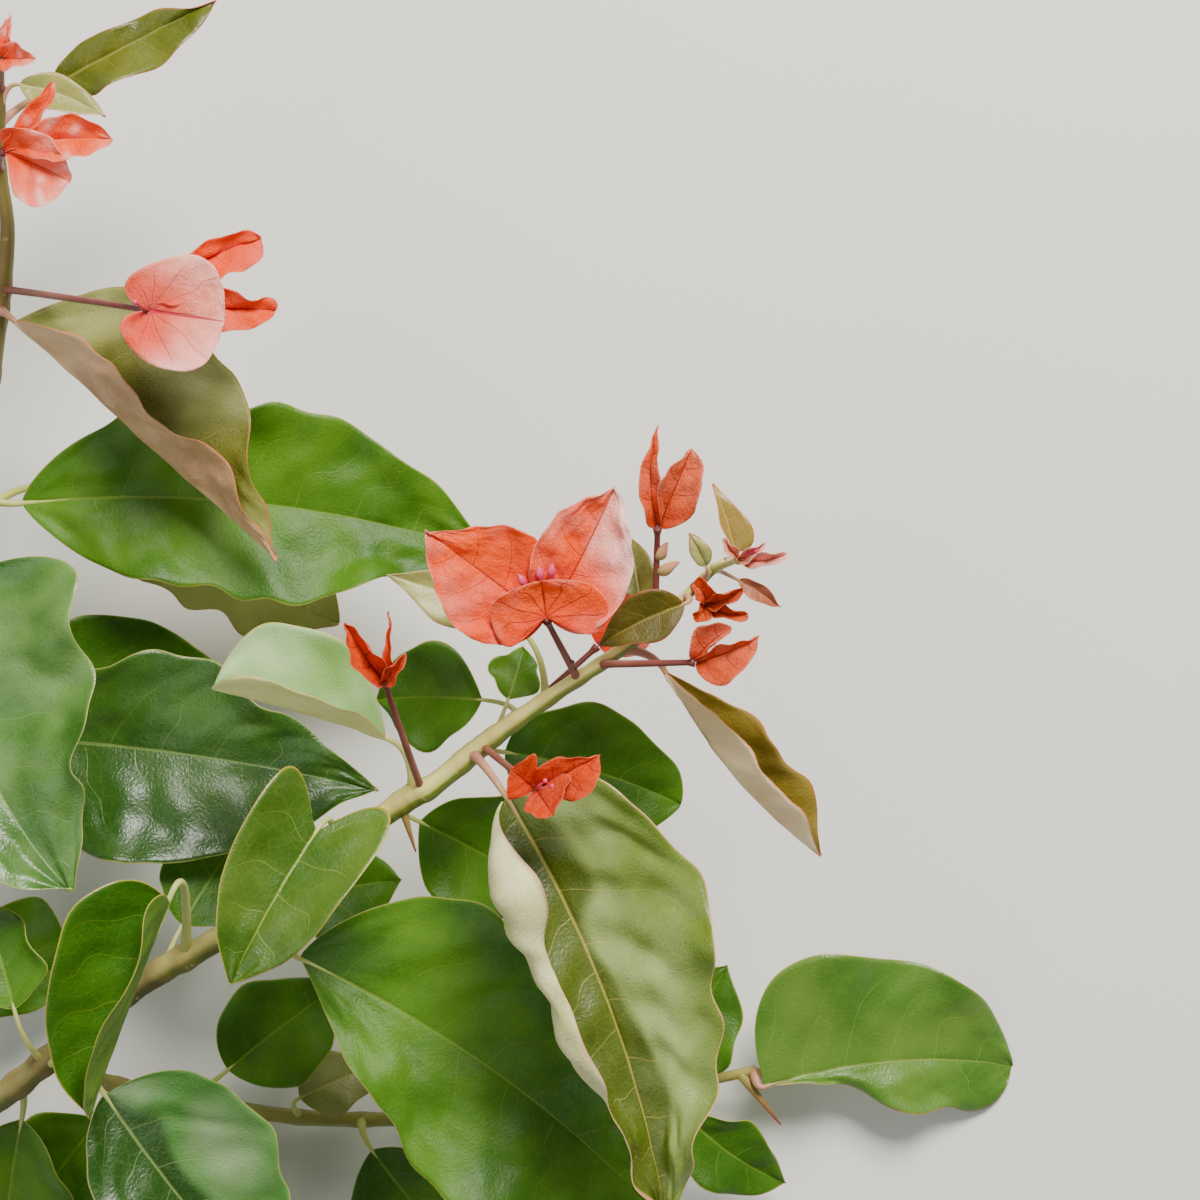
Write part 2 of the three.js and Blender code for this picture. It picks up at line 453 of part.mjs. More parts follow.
// Thin closed body on both sides of a middle surface
function sheet(grid, thickness) {
  const rows = grid.length - 1;
  const columns = grid[0].length - 1;
  const corners = [[], []];
  for (let i = 0; i <= rows; i += 1) {
    for (let j = 0; j <= columns; j += 1) {
      const along = plus(grid[Math.min(i + 1, rows)][j], grid[Math.max(i - 1, 0)][j], -1);
      const across = plus(grid[i][Math.min(j + 1, columns)], grid[i][Math.max(j - 1, 0)], -1);
      const normal = unit(cross(along, across));
      corners[0].push(plus(grid[i][j], normal, thickness / 2));
      corners[1].push(plus(grid[i][j], normal, -thickness / 2));
    }
  }
  const top = (i, j) => i * (columns + 1) + j;
  const below = corners[0].length;
  const triangles = [];
  for (let i = 0; i < rows; i += 1) {
    for (let j = 0; j < columns; j += 1) {
      const [a, b, c, d] = [top(i, j), top(i + 1, j), top(i + 1, j + 1), top(i, j + 1)];
      const quad = j < columns / 2 ? [[a, b, c], [a, c, d]] : [[a, b, d], [b, c, d]];
      quad.forEach(([u, v, w]) => triangles.push([u, v, w], [below + u, below + w, below + v]));
    }
  }
  const edge = [];
  for (let i = 0; i < rows; i += 1) edge.push(top(i, 0));
  for (let j = 0; j < columns; j += 1) edge.push(top(rows, j));
  for (let i = rows; i > 0; i -= 1) edge.push(top(i, columns));
  for (let j = columns; j > 0; j -= 1) edge.push(top(0, j));
  edge.forEach((a, k) => {
    const b = edge[(k + 1) % edge.length];
    triangles.push([below + a, below + b, b], [below + a, b, a]);
  });
  return body([...corners[0], ...corners[1]], triangles);
}

const lines = {};
const limbs = {};
const hollows = {};
Object.entries(SHOOTS).forEach(([name, shoot]) => {
  const line = middleLine(shoot.points);
  const picked = Array.from({ length: shoot.rings + 1 }, (_, i) => (
    line[Math.round((i * (SAMPLES - 1)) / shoot.rings)]
  ));
  lines[name] = line;
  limbs[name] = bar(picked.map((p) => p.slice(0, 3)), picked.map((p) => p[3]), shoot.sides);
  const [head, tail] = [picked[0], picked.at(-1)];
  const room = [plus(head, unit(plus(picked[1], head, -1)), -CLEARANCE), ...picked.slice(1, -1),
    plus(tail, unit(plus(tail, picked.at(-2), -1)), CLEARANCE)];
  hollows[name] = bar(room, picked.map((p) => p[3] + CLEARANCE), shoot.sides);
});
// The piece without crumbs that a join can leave beside it
function mainBody(shape, name) {
  const found = shape.decompose().sort((a, b) => b.volume() - a.volume());
  if (found.length > 1 && found[1].volume() > 0.05) throw new Error(`${name} came apart`);
  return found[0];
}
const foot = (on, at) => lines[on][Math.round(at * (SAMPLES - 1))].slice(0, 3);

const group = new THREE.Group();
group.name = 'bougainvillea_branch';
function keep(name, shape, colour) {
  const mesh = shape.getMesh();
  const positions = new Float32Array(mesh.numVert * 3);
  for (let i = 0; i < mesh.numVert; i += 1) {
    for (let k = 0; k < 3; k += 1) {
      positions[3 * i + k] = mesh.vertProperties[mesh.numProp * i + k] - CENTRE[k];
    }
  }
  const geometry = new THREE.BufferGeometry();
  geometry.setAttribute('position', new THREE.BufferAttribute(positions, 3));
  geometry.setIndex(new THREE.BufferAttribute(new Uint32Array(mesh.triVerts), 1));
  geometry.computeVertexNormals();
  const material = new THREE.MeshStandardMaterial({ color: colour, roughness: 0.6, metalness: 0 });
  material.name = name;
  const piece = new THREE.Mesh(geometry, material);
  piece.name = name;
  group.add(piece);
}

// Thorns stand on their limbs
THORNS.forEach(({ on, at, length, heading, rise, radius }) => {
  const root = foot(on, at);
  const path = [0, 0.55, 1].map((t) => plus(root, towards(heading, rise - 14 * t), length * t));
  limbs[on] = limbs[on].add(bar(path, [radius, 0.6 * radius, 0.12], 6));
});

// Limbs, each side limb cut clear of the cane it grows from
keep('cane', limbs.cane, COLOURS.cane);
keep('upright_shoot', limbs.upright.subtract(hollows.cane), COLOURS.upright);
keep('low_shoot', limbs.low.subtract(hollows.cane), COLOURS.low);

// Leaves with their petioles
LEAVES.forEach((leaf) => {
  const root = foot(leaf.on, leaf.at);
  const [reach, heading, rise] = leaf.petiole;
  const start = plus(root, towards(heading, rise), reach);
  const along = towards(leaf.heading, leaf.rise);
  const [, rows, columns] = LEAF_STEPS.find(([longer]) => leaf.length > longer);
  const thickness = Math.max(LEAF_THICKNESS, LEAF_THICKNESS_RATIO * leaf.length);
  const grid = blade(start, leaf, rows, columns, LEAF, thickness);
  const curve = bezier(root, plus(start, along, -0.45 * reach), start, leaf.length > 36 ? 4 : 3);
  curve.push(plus(start, along, 0.7 + 0.008 * leaf.length));
  const slim = Math.min(1, 0.45 + leaf.length / 90);
  const taper = (PETIOLE_RADIUS[1] - PETIOLE_RADIUS[0]) / (curve.length - 1);
  const radii = curve.map((_, i) => slim * (PETIOLE_RADIUS[0] + taper * i));
  const petiole = bar(curve, radii, 4);
  const whole = mainBody(sheet(grid, thickness).add(petiole).subtract(hollows[leaf.on]), leaf.name);
  keep(`leaf_${leaf.name}`, whole, leaf.tone > 0.45 ? COLOURS.young_leaf : COLOURS.leaf);
});

// Blooms
BLOOMS.forEach((bloom) => {
  const root = foot(bloom.on, bloom.at);
  const [reach, heading, rise] = bloom.stalk;
  const tip = plus(root, towards(heading, rise), reach);
  const bend = plus(plus(root, plus(tip, root, -1), 0.5), [0, 0, bloom.bow]);
  const curve = bezier(root, bend, tip, 4);
  const ahead = unit(plus(tip, curve[3], -1));
  curve[4] = plus(tip, ahead, -0.8);
  curve.push(plus(tip, ahead, 0.8));
  const radii = [STALK_RADIUS[0], 0.75, 0.7, STALK_RADIUS[1], KNOB_RADIUS, KNOB_RADIUS * 0.9];
  let whole = bar(curve, radii, 4);
  bloom.bracts.forEach((bract) => {
    const large = bract.length > 20;
    const raised = plus(tip, [0, 0, bract.raised ?? 0]);
    const base = plus(raised, towards(bract.heading, bract.rise), BRACT_START);
    if (bract.raised) whole = whole.add(bar([tip, plus(raised, [0, 0, 0.2])], [0.45, 0.45], 6));
    const rows = large ? 6 : bract.length > 12 ? 4 : 3;
    const grid = blade(base, bract, rows, large ? 3 : 2, BRACT, BRACT_THICKNESS);
    whole = whole.add(sheet(grid, BRACT_THICKNESS));
  });
  bloom.flowers.forEach(([reachOut, turned, raised]) => {
    const end = plus(tip, towards(turned, raised), reachOut);
    const tube = bezier(tip, plus(tip, plus(end, tip, -1), 0.5), end, 2);
    whole = whole.add(bar(tube, [0.6, 0.9, 0.5], 4));
  });
  whole = mainBody(whole.subtract(hollows[bloom.on]), bloom.name);
  keep(`bloom_${bloom.name}`, whole, bloom.dark ? COLOURS.dark_bract : COLOURS.bract);
});

export default group;
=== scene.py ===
"""Cut flowering branch of a bougainvillea, lying on a pale floor.

The limbs, leaves and blooms follow the same rule and the same sizes as their solids, on fine grids.
Sizes are in millimetres until a mesh is laid, which moves them to the frame and to metres.
"""
import bpy
import numpy as np
from mathutils import Matrix


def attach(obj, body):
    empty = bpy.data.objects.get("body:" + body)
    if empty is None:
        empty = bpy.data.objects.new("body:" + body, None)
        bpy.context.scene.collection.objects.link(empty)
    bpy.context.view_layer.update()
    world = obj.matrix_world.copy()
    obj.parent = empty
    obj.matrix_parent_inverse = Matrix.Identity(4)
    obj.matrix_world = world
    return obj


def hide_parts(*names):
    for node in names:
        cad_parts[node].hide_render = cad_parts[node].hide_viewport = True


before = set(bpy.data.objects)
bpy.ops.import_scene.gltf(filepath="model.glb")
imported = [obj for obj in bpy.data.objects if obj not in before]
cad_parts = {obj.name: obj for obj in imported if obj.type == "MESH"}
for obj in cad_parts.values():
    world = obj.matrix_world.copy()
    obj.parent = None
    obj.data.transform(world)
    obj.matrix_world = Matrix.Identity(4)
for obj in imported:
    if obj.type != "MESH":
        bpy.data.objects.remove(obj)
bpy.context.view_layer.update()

# Sizes
MM = 0.001
CENTRE = np.array([-46.1, -16, 2])     # middle of the outline and floor level, moved to the origin
CAMERA_MM = (46.1, 16.0, 787.4)
LENS, SENSOR = 100.0, 36.0

PETIOLE_RADIUS = (1.1, 0.6)             # at the limb and at the blade
# Last points of a petiole, below the rib: share of the blade's length, depth below it and radius
PETIOLE_END = ((0.03, 0.34, 0.5), (0.07, 0.42, 0.42), (0.12, 0.35, 0.33), (0.18, 0.22, 0.2))
STALK_RADIUS = (0.85, 0.6)              # at the limb and at the knob
NECK_RADIUS = 0.45
BRACT_START = 0.4                       # from the middle of the knob to a bract's foot
LEAF_SKIN, BRACT_SKIN = 0.34, 0.16      # thickness of a blade
SPOKES = 6                              # veins that fan out on half a heart shaped bract
LIT_SIDE_WAY = (-0.38, 0.42, 0.82)         # painted highlight: the limbs' skin is painted paler on the side that faces this way, darker round the back
JOINT_BELL = 2.5                        # how far along it a limb swells to each side of a leaf joint

# Steps of the curves
SPAN_STEPS = 60                         # between two given points of a limb
LIMB_STEPS = 400                        # along a limb, where the leaves and blooms stand
RIB_STEPS, SECTION_STEPS = 200, 240     # along a blade's rib and across half of it
PETIOLE_STEPS, STALK_STEPS = 26, 30
THORN_STEPS, BUD_STEPS, FLOWER_STEPS = 18, 20, 22
STALK_SIDES, FLOWER_SIDES = 12, 10      # round a petiole, stalk, thorn or bud, and round a tube or neck

# Limbs: points on the middle line and the radius at each, from the cut or fork to the tip
SHOOTS = {
    "cane": [
        (-187, -147, 5, 3.4), (-152, -122, 34, 3.1), (-134, -111, 46, 2.9), (-119, -99, 53, 2.8),
        (-99, -83, 60, 2.7), (-82, -73, 66, 2.6), (-62, -58, 74, 2.5), (-42, -43, 81, 2.4),
        (-35, -39, 84, 2.3), (-24, -30, 88, 2), (-13, -22, 92, 1.7), (-4, -16, 95, 1.5),
        (2, -12, 96, 1.35), (10, -6, 97, 1.15), (17, 0, 98, 1), (23, 6, 100, 0.9), (26, 8, 101, 0.8),
    ],
    "upright": [
        (-157, -126, 30, 2.4), (-154, -116, 34, 2.4), (-151, -90, 38, 2.3), (-146, -45, 43, 2.2),
        (-140, 0, 50, 2.1), (-135, 40, 56, 2), (-131, 66, 60, 1.9), (-129, 81, 64, 1.6),
        (-130, 95, 68, 1.3), (-129, 110, 72, 1),
    ],
    "low": [
        (-121, -100, 52, 2), (-115, -107, 40, 1.9), (-103, -112, 30, 1.8), (-65, -120, 18, 1.7),
        (-19, -119, 14, 1.5), (14, -114, 14, 1.4), (36, -109, 17, 1.1),
    ],
}
THORNS = [
    dict(on="low", at=0.98, length=15, heading=-52, rise=14, radius=1.3),
    dict(on="cane", at=0.69, length=11, heading=-74, rise=4, radius=1.0),
]


# Leaves and blooms

# What is usual for a leaf and for a bract. Of a pair, the first is left of the rib and the second is
# right of it. A value that stands alone, or one shape, is for both sides
LEAF = dict(sweep=0, droop=0, fold=12, curl=10, power=1, wave=1.2, waves=2, phase=0, heart=0,
            shape=(0.7, 1.1), furl=0, quilt=1, young=False, finish=("mature", "pale", "green"))
BRACT = dict(sweep=0, droop=0, fold=8, curl=10, power=1, wave=0.5, waves=1.5, phase=0, heart=0.04,
             shape=(0.6, 0.85), furl=0, raised=0, blush=0.12)


def two_sided(row):
    """Row of a blade in which each value that can differ left and right of the rib is a pair."""
    pairs = {k: row[k] if isinstance(row[k], tuple) else (row[k], row[k])
             for k in ("width", "fold", "curl", "power", "wave", "heart", "furl", "blush") if k in row}
    shape = row["shape"]
    return {**row, **pairs, "shape": shape if isinstance(shape[0], tuple) else (shape, shape)}


def leaf_row(name, on, at, petiole, length, width, heading, rise, **special):
    """Leaf: its limb and its place along it, its petiole's length, heading and rise, its blade's length,
    half width, heading and rise, and what differs from the usual. quilt is how many times as much as
    usual its web is puffed, and finish is upper face, lower face and petiole."""
    return two_sided({**LEAF, **dict(name=name, on=on, at=at, petiole=petiole, length=length, width=width,
                                     heading=heading, rise=rise), **special})


def bract_row(length, width, heading, rise, **special):
    """Bract: its length, half width, heading and rise, and what differs from the usual. raised is how
    high it stands over the knob."""
    return two_sided({**BRACT, **dict(length=length, width=width, heading=heading, rise=rise), **special})


def bloom_row(name, on, at, stalk, *, bracts, bow=0, flowers=(), buds=(), finish="coral", dark=False):
    """Bloom: its limb and its place along it, its stalk's length, heading and rise, how high the stalk
    bows, its flower tubes' length, heading and rise, its side buds' place along the stalk, length,
    heading, rise, radius and finish number, and its bracts."""
    return dict(name=name, on=on, at=at, stalk=stalk, bow=bow, flowers=flowers, buds=buds, finish=finish,
                dark=dark, bracts=bracts)


LEAVES = [
    leaf_row("front_long", "cane", 0.76, (16.5, -49, 46), 99, (28, 26.5), -58, 1, sweep=-24, droop=12,
             fold=(8, 14), curl=(18, 175), power=(1, 2.3), furl=(0, 0.45),
             shape=((0.42, 1.05), (0.55, 1.45)), wave=(3, 2.8), waves=2.9, phase=0.92, quilt=2.0,
             finish=("grey", "cream", "rosy")),
    leaf_row("cream_folded", "cane", 0.7, (14.5, 112, 21), 38, (17, 19), 161, 8, sweep=6, droop=10,
             fold=(100, 6), curl=(14, 20), shape=(0.9, 0.65), wave=(0.6, 0.8), waves=1.5, phase=0.2,
             finish=("pale_sheen", "beige", "green")),
    leaf_row("heart", "cane", 0.62, (18, 103, 68), 37, (15, 16), -123, 22, sweep=8, droop=20,
             fold=(14, 18), curl=(20, 24), heart=(0.4, 0.3), shape=((0.5, 0.95), (0.4, 0.9)), wave=0.8,
             waves=1.6, phase=0.5, quilt=1.5, finish=("heart", "pale", "green")),
    leaf_row("cupped", "cane", 0.47, (29, 92, 60), 51, (16, 21), -111, -1, droop=16, fold=(93, 14),
             curl=(10, 40), heart=(0.1, 0.12), shape=(0.5, 0.85), quilt=1.2,
             finish=("fresh", "lime", "green")),
    leaf_row("low_left", "cane", 0.32, (20.5, -19, 38), 66, (28, 16), -57, -4, sweep=6, droop=24,
             fold=(8, 20), curl=(20, 30), shape=((0.4, 0.9), (0.6, 1)),
             finish=("two_green", "lime", "green")),
    leaf_row("edge_long", "upright", 0.59, (16.5, -112, 59), 76, (33, 26), -91, -1, sweep=46, droop=-8,
             curl=(20, 30), heart=(0.12, 0.05), shape=((0.35, 0.8), (0.5, 0.9)), wave=(3.2, 2.4),
             waves=2.6, phase=0.5, finish=("sheen", "pale", "green")),
    leaf_row("back_broad", "upright", 0.37, (17, 26, 0), 82, (21, 27), -2, 12, sweep=-12, droop=18,
             fold=(8, 10), curl=15, finish=("glossy", "pale", "green")),
    leaf_row("back_shade", "upright", 0.46, (15.5, 9, -47), 57, 15, -4, 0, sweep=-14, droop=16,
             fold=(8, 10)),
    leaf_row("upper_broad", "upright", 0.63, (9.5, -9, -9), 104, (23, 22), 6, 4, sweep=-24, droop=16,
             fold=(8, 10), curl=12, shape=(0.75, 0.85), wave=(1.2, 1.8), waves=2.4, phase=0.2),
    leaf_row("upper_folded", "upright", 0.8, (8.5, -33, 50), 77, (30, 16), -43, 6, sweep=2, droop=10,
             fold=(14, 116), curl=(20, 10), shape=((0.9, 1.4), (0.75, 1)), wave=(2.6, 1.4), waves=2.2,
             phase=0.3, quilt=1.4, young=True, finish=("olive", "blush", "rosy")),
    leaf_row("crown", "upright", 0.97, (15.5, 38, -16), 39, (5.2, 9.5), 27, 8, droop=10, fold=(10, 20),
             curl=(10, 20), shape=((0.4, 1), (0.7, 0.85)), wave=(1, 1.2), waves=2.2, phase=0.3, quilt=1.4,
             young=True, finish=("dark_olive", "rust", "rosy")),
    leaf_row("crown_narrow", "upright", 0.98, (7.5, 50, 17), 20, (4.2, 4.4), -9, 6, sweep=-24, droop=12,
             fold=(14, 22), curl=(12, 16), wave=(0.5, 0.4), waves=1.5, phase=0.2, young=True,
             finish=("pale_olive", "cream", "rosy")),
    leaf_row("hanging_narrow", "cane", 0.9, (10.5, -29, -13), 51, (13, 11), -63, 6, sweep=26, droop=16,
             fold=(24, 112), curl=(20, 10), shape=(0.95, 0.9), wave=(1.4, 1.3), waves=2.1, phase=0.1,
             young=True, finish=("bronze", "blush_pale", "rosy")),
    leaf_row("red_edged", "cane", 0.96, (5, -107, 71), 20, (5.5, 6), -161, 5, sweep=14, droop=16, fold=15,
             wave=(0.5, 0.4), waves=1.5, phase=0.2, young=True, finish=("bronze_dark", "rust", "rosy")),
    leaf_row("tip_up", "cane", 1, (2.5, 46, 0), 15, (2.6, 5), 101, 5, sweep=12, droop=10, fold=(30, 16),
             curl=(30, 10), shape=((0.5, 1.2), (0.3, 1.2)), wave=(0.2, 0.3), waves=1.5, phase=0.1,
             young=True, finish=("bronze", "blush", "rosy")),
    leaf_row("tip_left", "cane", 0.98, (5, 86, 63), 8, (2.2, 2.4), 113, 20, sweep=10, droop=10, fold=24,
             wave=0.2, waves=1.5, young=True, finish=("olive", "rust", "rosy")),
    leaf_row("tip_right", "cane", 0.99, (8.5, -25, -48), 11, (2.4, 2.2), -27, -11, sweep=-10, droop=10,
             fold=30, wave=0.2, waves=1.5, young=True, finish=("rust", "rust", "rosy")),
    leaf_row("small_pale", "cane", 0.83, (21.5, 117, -29), 27, 6, 154, 9, sweep=10, droop=10, fold=15,
             wave=(0.6, 0.5), waves=1.5, phase=0.4, young=True, finish=("pale_olive", "cream", "green")),
    leaf_row("behind_bloom", "cane", 0.91, (10.5, 80, -39), 15, (4.4, 4), 96, -11, sweep=8, droop=10,
             fold=15, wave=(0.5, 0.3), waves=1.5, phase=0.3, young=True,
             finish=("olive", "cream", "rosy")),
    leaf_row("back_short", "cane", 0.78, (13.5, 69, -52), 13, 6, 71, -21, sweep=6, droop=10),
    leaf_row("back_dark", "cane", 0.75, (25.5, 6, -71), 41, 15, -8, -2, sweep=-18, droop=14,
             shape=(0.55, 0.7)),
    leaf_row("lower_broad", "cane", 0.53, (14.5, -35, -8), 96, (30, 27), -24, 4, sweep=-24, droop=18,
             fold=(6, 8), curl=(14, 16), shape=((0.7, 1.1), (1.15, 0.9)), wave=(2.4, 2.8), waves=2.4,
             phase=0.3),
    leaf_row("right_broad", "low", 1, (5, -60, 39), 63, (28, 12.5), 17, -7, sweep=-30, droop=20,
             fold=(8, 4), curl=(12, 8), shape=((0.34, 0.75), (1.6, 0.5)), wave=(2.4, 2.2), waves=2.2,
             phase=0.55, finish=("light", "pale", "rosy")),
    leaf_row("right_behind", "low", 0.84, (15.5, 42, 53), 29, 12, 67, 12, sweep=-10, droop=16),
    leaf_row("right_low", "low", 0.89, (10.5, -61, 49), 30, (9, 10), -48, -13, sweep=24, droop=14),
    leaf_row("edge_short", "cane", 0.32, (17.5, 110, 37), 25, (8, 10), 104, -4, sweep=10, droop=14),
    leaf_row("back_upper", "upright", 0.61, (23.5, 20, -39), 69, (16, 12), -23, -3, sweep=-6, droop=14,
             shape=(1, 0.8), finish=("pale_olive", "cream", "green")),
    leaf_row("back_middle", "cane", 0.69, (22, -62, -74), 40, 15, -27, -19, sweep=-10, droop=14),
    leaf_row("back_twist", "cane", 0.8, (23.5, 151, -69), 28, 12, -185, -24, sweep=12, droop=14),
    leaf_row("low_a", "low", 0.23, (14, 34, 21), 33, 13, 41, 4, sweep=-8, droop=14),
    leaf_row("low_b", "low", 0.39, (7.5, 88, 45), 21, 8, 26, -5, sweep=-8, droop=14, young=True,
             finish=("olive", "pale", "green")),
    leaf_row("low_c", "low", 0.47, (10, -64, 49), 38, 14, -56, -11, sweep=8, droop=14),
    leaf_row("low_d", "low", 0.21, (10.5, -63, -23), 47, 17, -74, -17, sweep=8, droop=14),
    leaf_row("low_edge", "cane", 0.29, (16, -98, -51), 52, 15, -105, -23, sweep=8, droop=14),
    leaf_row("low_e", "low", 0.55, (21, 75, 64), 33, 13, 76, 17, sweep=-8, droop=14),
    leaf_row("low_f", "low", 0.61, (12.5, -42, 66), 33, 14, -37, 0, sweep=10, droop=14),
    leaf_row("back_lower", "cane", 0.55, (22, -9, -82), 28, (13, 14), 13, -19, sweep=-10, droop=14),
    leaf_row("low_g", "low", 0.14, (13, -121, -36), 30, 13, -132, -8, sweep=10, droop=14),
    leaf_row("edge_low", "upright", 0.22, (15, -34, -66), 27, 15, -19, -2, sweep=-10, droop=14),
    leaf_row("behind_cane", "cane", 0.45, (14.5, 74, -53), 24, 11, 62, -19, sweep=-8, droop=10),
    leaf_row("prop", "upright", 0.74, (17, 154, -52), 59, 17, 151, -36, sweep=-8, droop=20),
]
BLOOMS = [
    bloom_row("main", "cane", 0.86, (20.5, 117, 48), bow=2,
              flowers=((12.5, 121, 28), (12.5, 98, 27), (13, 84, 26)),
              buds=((0.16, 1.6, 60, 60, 0.55, 1), (0.3, 1.4, 20, 50, 0.5, 1)), bracts=[
        bract_row(31, (12.4, 13), 143, 7, droop=-12, fold=4, curl=(14, 22), heart=(0.02, 0),
                  shape=((0.5, 0.8), (1.7, 1.9)), wave=(0.5, 0.9), phase=0.2, blush=(0.12, 0)),
        # The high blush on this bract's right half is a painted highlight on its lit half.
        bract_row(31, (10.8, 12.2), 60, 8, sweep=6, droop=-10, fold=(8, 4), curl=(28, 20),
                  heart=(0.02, 0.04), shape=((0.9, 1), (0.45, 0.8)), wave=(0.8, 0.5), phase=0.6,
                  blush=(0.2, 0.85)),
        bract_row(9, (11.4, 12.8), 97, -5, droop=-60, raised=3.6, fold=18, curl=-22, heart=(0.66, 0.6),
                  shape=(0.4, 0.45), blush=0),
    ]),
    bloom_row("young", "cane", 0.93, (22.5, 89, 29),
              buds=((0.66, 4.8, 60, 30, 1.15, 3), (0.55, 5.6, 28, 24, 1.2, 3)), finish="rosy", bracts=[
        bract_row(21, (3.4, 3.2), 105, 19, sweep=-30, droop=16, fold=(24, 40), curl=20,
                  shape=((0.5, 1.1), (0.6, 0.9)), wave=0.2, blush=0.1),
        bract_row(18, (4.3, 6.2), 65, 28, sweep=4, droop=16, fold=(30, 14), curl=(20, 24),
                  shape=((1.4, 1), (0.7, 0.6)), blush=0.25),
    ]),
    bloom_row("bud", "cane", 0.99, (11, 20, 64), flowers=((6, 30, 40),), finish="dusky", bracts=[
        bract_row(7, 3, 24, 38, sweep=20, droop=30, fold=40, curl=50, shape=(0.5, 0.6), blush=0.5),
        bract_row(10, 3.2, -12, 27, sweep=40, droop=30, fold=36, curl=50, shape=(0.8, 0.5), blush=0.5),
        bract_row(5, 2.2, 128, 9, droop=20, fold=40, curl=40, shape=(0.5, 0.6), blush=0.3),
    ]),
    bloom_row("curled", "cane", 0.97, (13, -62, 72), finish="brick", dark=True, bracts=[
        bract_row(5, 3.6, 94, 29, sweep=60, droop=40, fold=20, curl=(80, 60), shape=(0.5, 0.4), blush=0),
        bract_row(10, (3.4, 3), 4, 46, sweep=44, droop=20, fold=(40, 30), curl=(40, 60), shape=(0.6, 0.4),
                  blush=0),
        bract_row(9, 2.6, -37, 28, sweep=50, droop=20, fold=(40, 30), curl=40, shape=(0.6, 0.3), blush=0),
        bract_row(4, 3, -105, 27, sweep=-50, droop=30, fold=30, curl=(50, 60), shape=(0.5, 0.4),
                  blush=0.1),
    ]),
    bloom_row("half_open", "cane", 0.88, (25, 2, 40), bow=6, finish="rosy", bracts=[
        bract_row(15, (3.4, 6.4), 14, 34, sweep=16, droop=20, fold=(34, 14), curl=(40, 24),
                  shape=((0.8, 0.9), (0.7, 0.9))),
        bract_row(11, (4.6, 2.6), 60, 33, sweep=-34, droop=20, fold=(20, 44), curl=(30, 40),
                  shape=(0.7, 0.5)),
    ]),
    bloom_row("lower", "cane", 0.77, (28, -34, 60), bow=2, flowers=((4.5, 42, 44), (5.5, 12, 40)),
              finish="deep", dark=True, bracts=[
        bract_row(8, (5.2, 6), 138, 44, droop=10, fold=16, heart=0, shape=((0.9, 0.5), (1.5, 0.2)),
                  blush=0),
        bract_row(16, (4.8, 7.6), 29, 32, droop=20, fold=(24, 20), curl=(16, 24), heart=0,
                  shape=((0.6, 1.3), (1.6, 0.9)), blush=0),
        bract_row(11, (7.6, 4.4), -51, 48, droop=-20, fold=(10, 14), heart=0, shape=(0.5, 0.5), blush=0),
    ]),
    bloom_row("red_bud", "cane", 0.71, (35, 105, 46), bow=4, finish="deep", dark=True, bracts=[
        bract_row(15, 5.4, 127, 24, sweep=-10, droop=16, fold=34, curl=50,
                  shape=((0.5, 0.7), (0.6, 0.7))),
        bract_row(15, (2.4, 2.6), 80, 23, sweep=12, droop=16, fold=(56, 50), curl=20, shape=(0.4, 1.1)),
        bract_row(9, (3.4, 3), 41, 41, sweep=30, droop=16, fold=40, curl=40, shape=(0.5, 0.6)),
    ]),
    bloom_row("round", "upright", 0.82, (52.5, -12, 44), bow=4, flowers=((6, 150, 60),), finish="salmon",
              bracts=[
        # This bract's full blush is partly its own pink and partly a painted highlight.
        bract_row(16, (12.6, 12.4), -9, 14, droop=14, fold=(4, 6), curl=(10, 12), heart=(0.5, 0.48),
                  shape=(0.85, 0.55), blush=1),
        bract_row(28, (4.2, 6.8), 53, -1, sweep=-40, droop=10, fold=(40, 16), curl=(16, 20), heart=0,
                  shape=((0.8, 0.35), (0.8, 0.3)), blush=0),
        bract_row(26, (4.8, 5.8), 4, -6, sweep=-6, droop=10, fold=(30, 16), curl=(20, 16), heart=0,
                  shape=((0.6, 0.35), (0.5, 0.55)), wave=(1.6, 0.4), waves=1.8, phase=0.9, blush=0),
    ]),
    bloom_row("crown", "upright", 0.93, (22, 7, 78), bow=2, finish="streaked", bracts=[
        bract_row(19, (3.2, 2.6), 29, 24, sweep=44, droop=16, fold=30, curl=20, heart=0, shape=(0.5, 0.5),
                  blush=0),
        bract_row(25, (5.4, 7), 15, 24, sweep=-22, droop=16, fold=24, curl=(20, 30), heart=0,
                  shape=(1.2, 0.7), blush=(0.1, 0.2)),
        bract_row(17, (7.6, 10), -20, 27, sweep=-10, droop=20, fold=(20, 14), curl=(30, 20),
                  heart=(0.12, 0), shape=((0.4, 0.5), (1.2, 0.45)), blush=0.4),
    ]),
    bloom_row("crown_bud", "upright", 1, (18.5, 47, 74), finish="streaked", bracts=[
        bract_row(9, 3, 72, 22, sweep=10, droop=16, fold=40, curl=30, blush=0.6),
        bract_row(9, 4, -10, 37, sweep=10, droop=16, fold=25, curl=30, blush=0.4),
    ]),
    bloom_row("behind", "cane", 0.8, (24, 42, -10), finish="salmon", bracts=[
        bract_row(17, 7, 38, 1, sweep=10, droop=16, fold=10, blush=0.6),
    ]),
]


# Vectors and curves

def unit(v):
    """Each vector over its own length."""
    return v / np.maximum(np.linalg.norm(v, axis=-1, keepdims=True), 1e-12)


def towards(heading, rise):
    """Unit vector at a heading about Z and a rise over the floor, in degrees."""
    h, r = np.radians(heading), np.radians(rise)
    return np.stack([np.cos(r) * np.cos(h), np.cos(r) * np.sin(h), np.sin(r) + 0 * h], -1)


def ease(x, low, high):
    """0 at low, 1 at high, flat beyond them, and 3t^2 - 2t^3 between."""
    t = np.clip((x - low) / (high - low), 0, 1)
    return t * t * (3 - 2 * t)


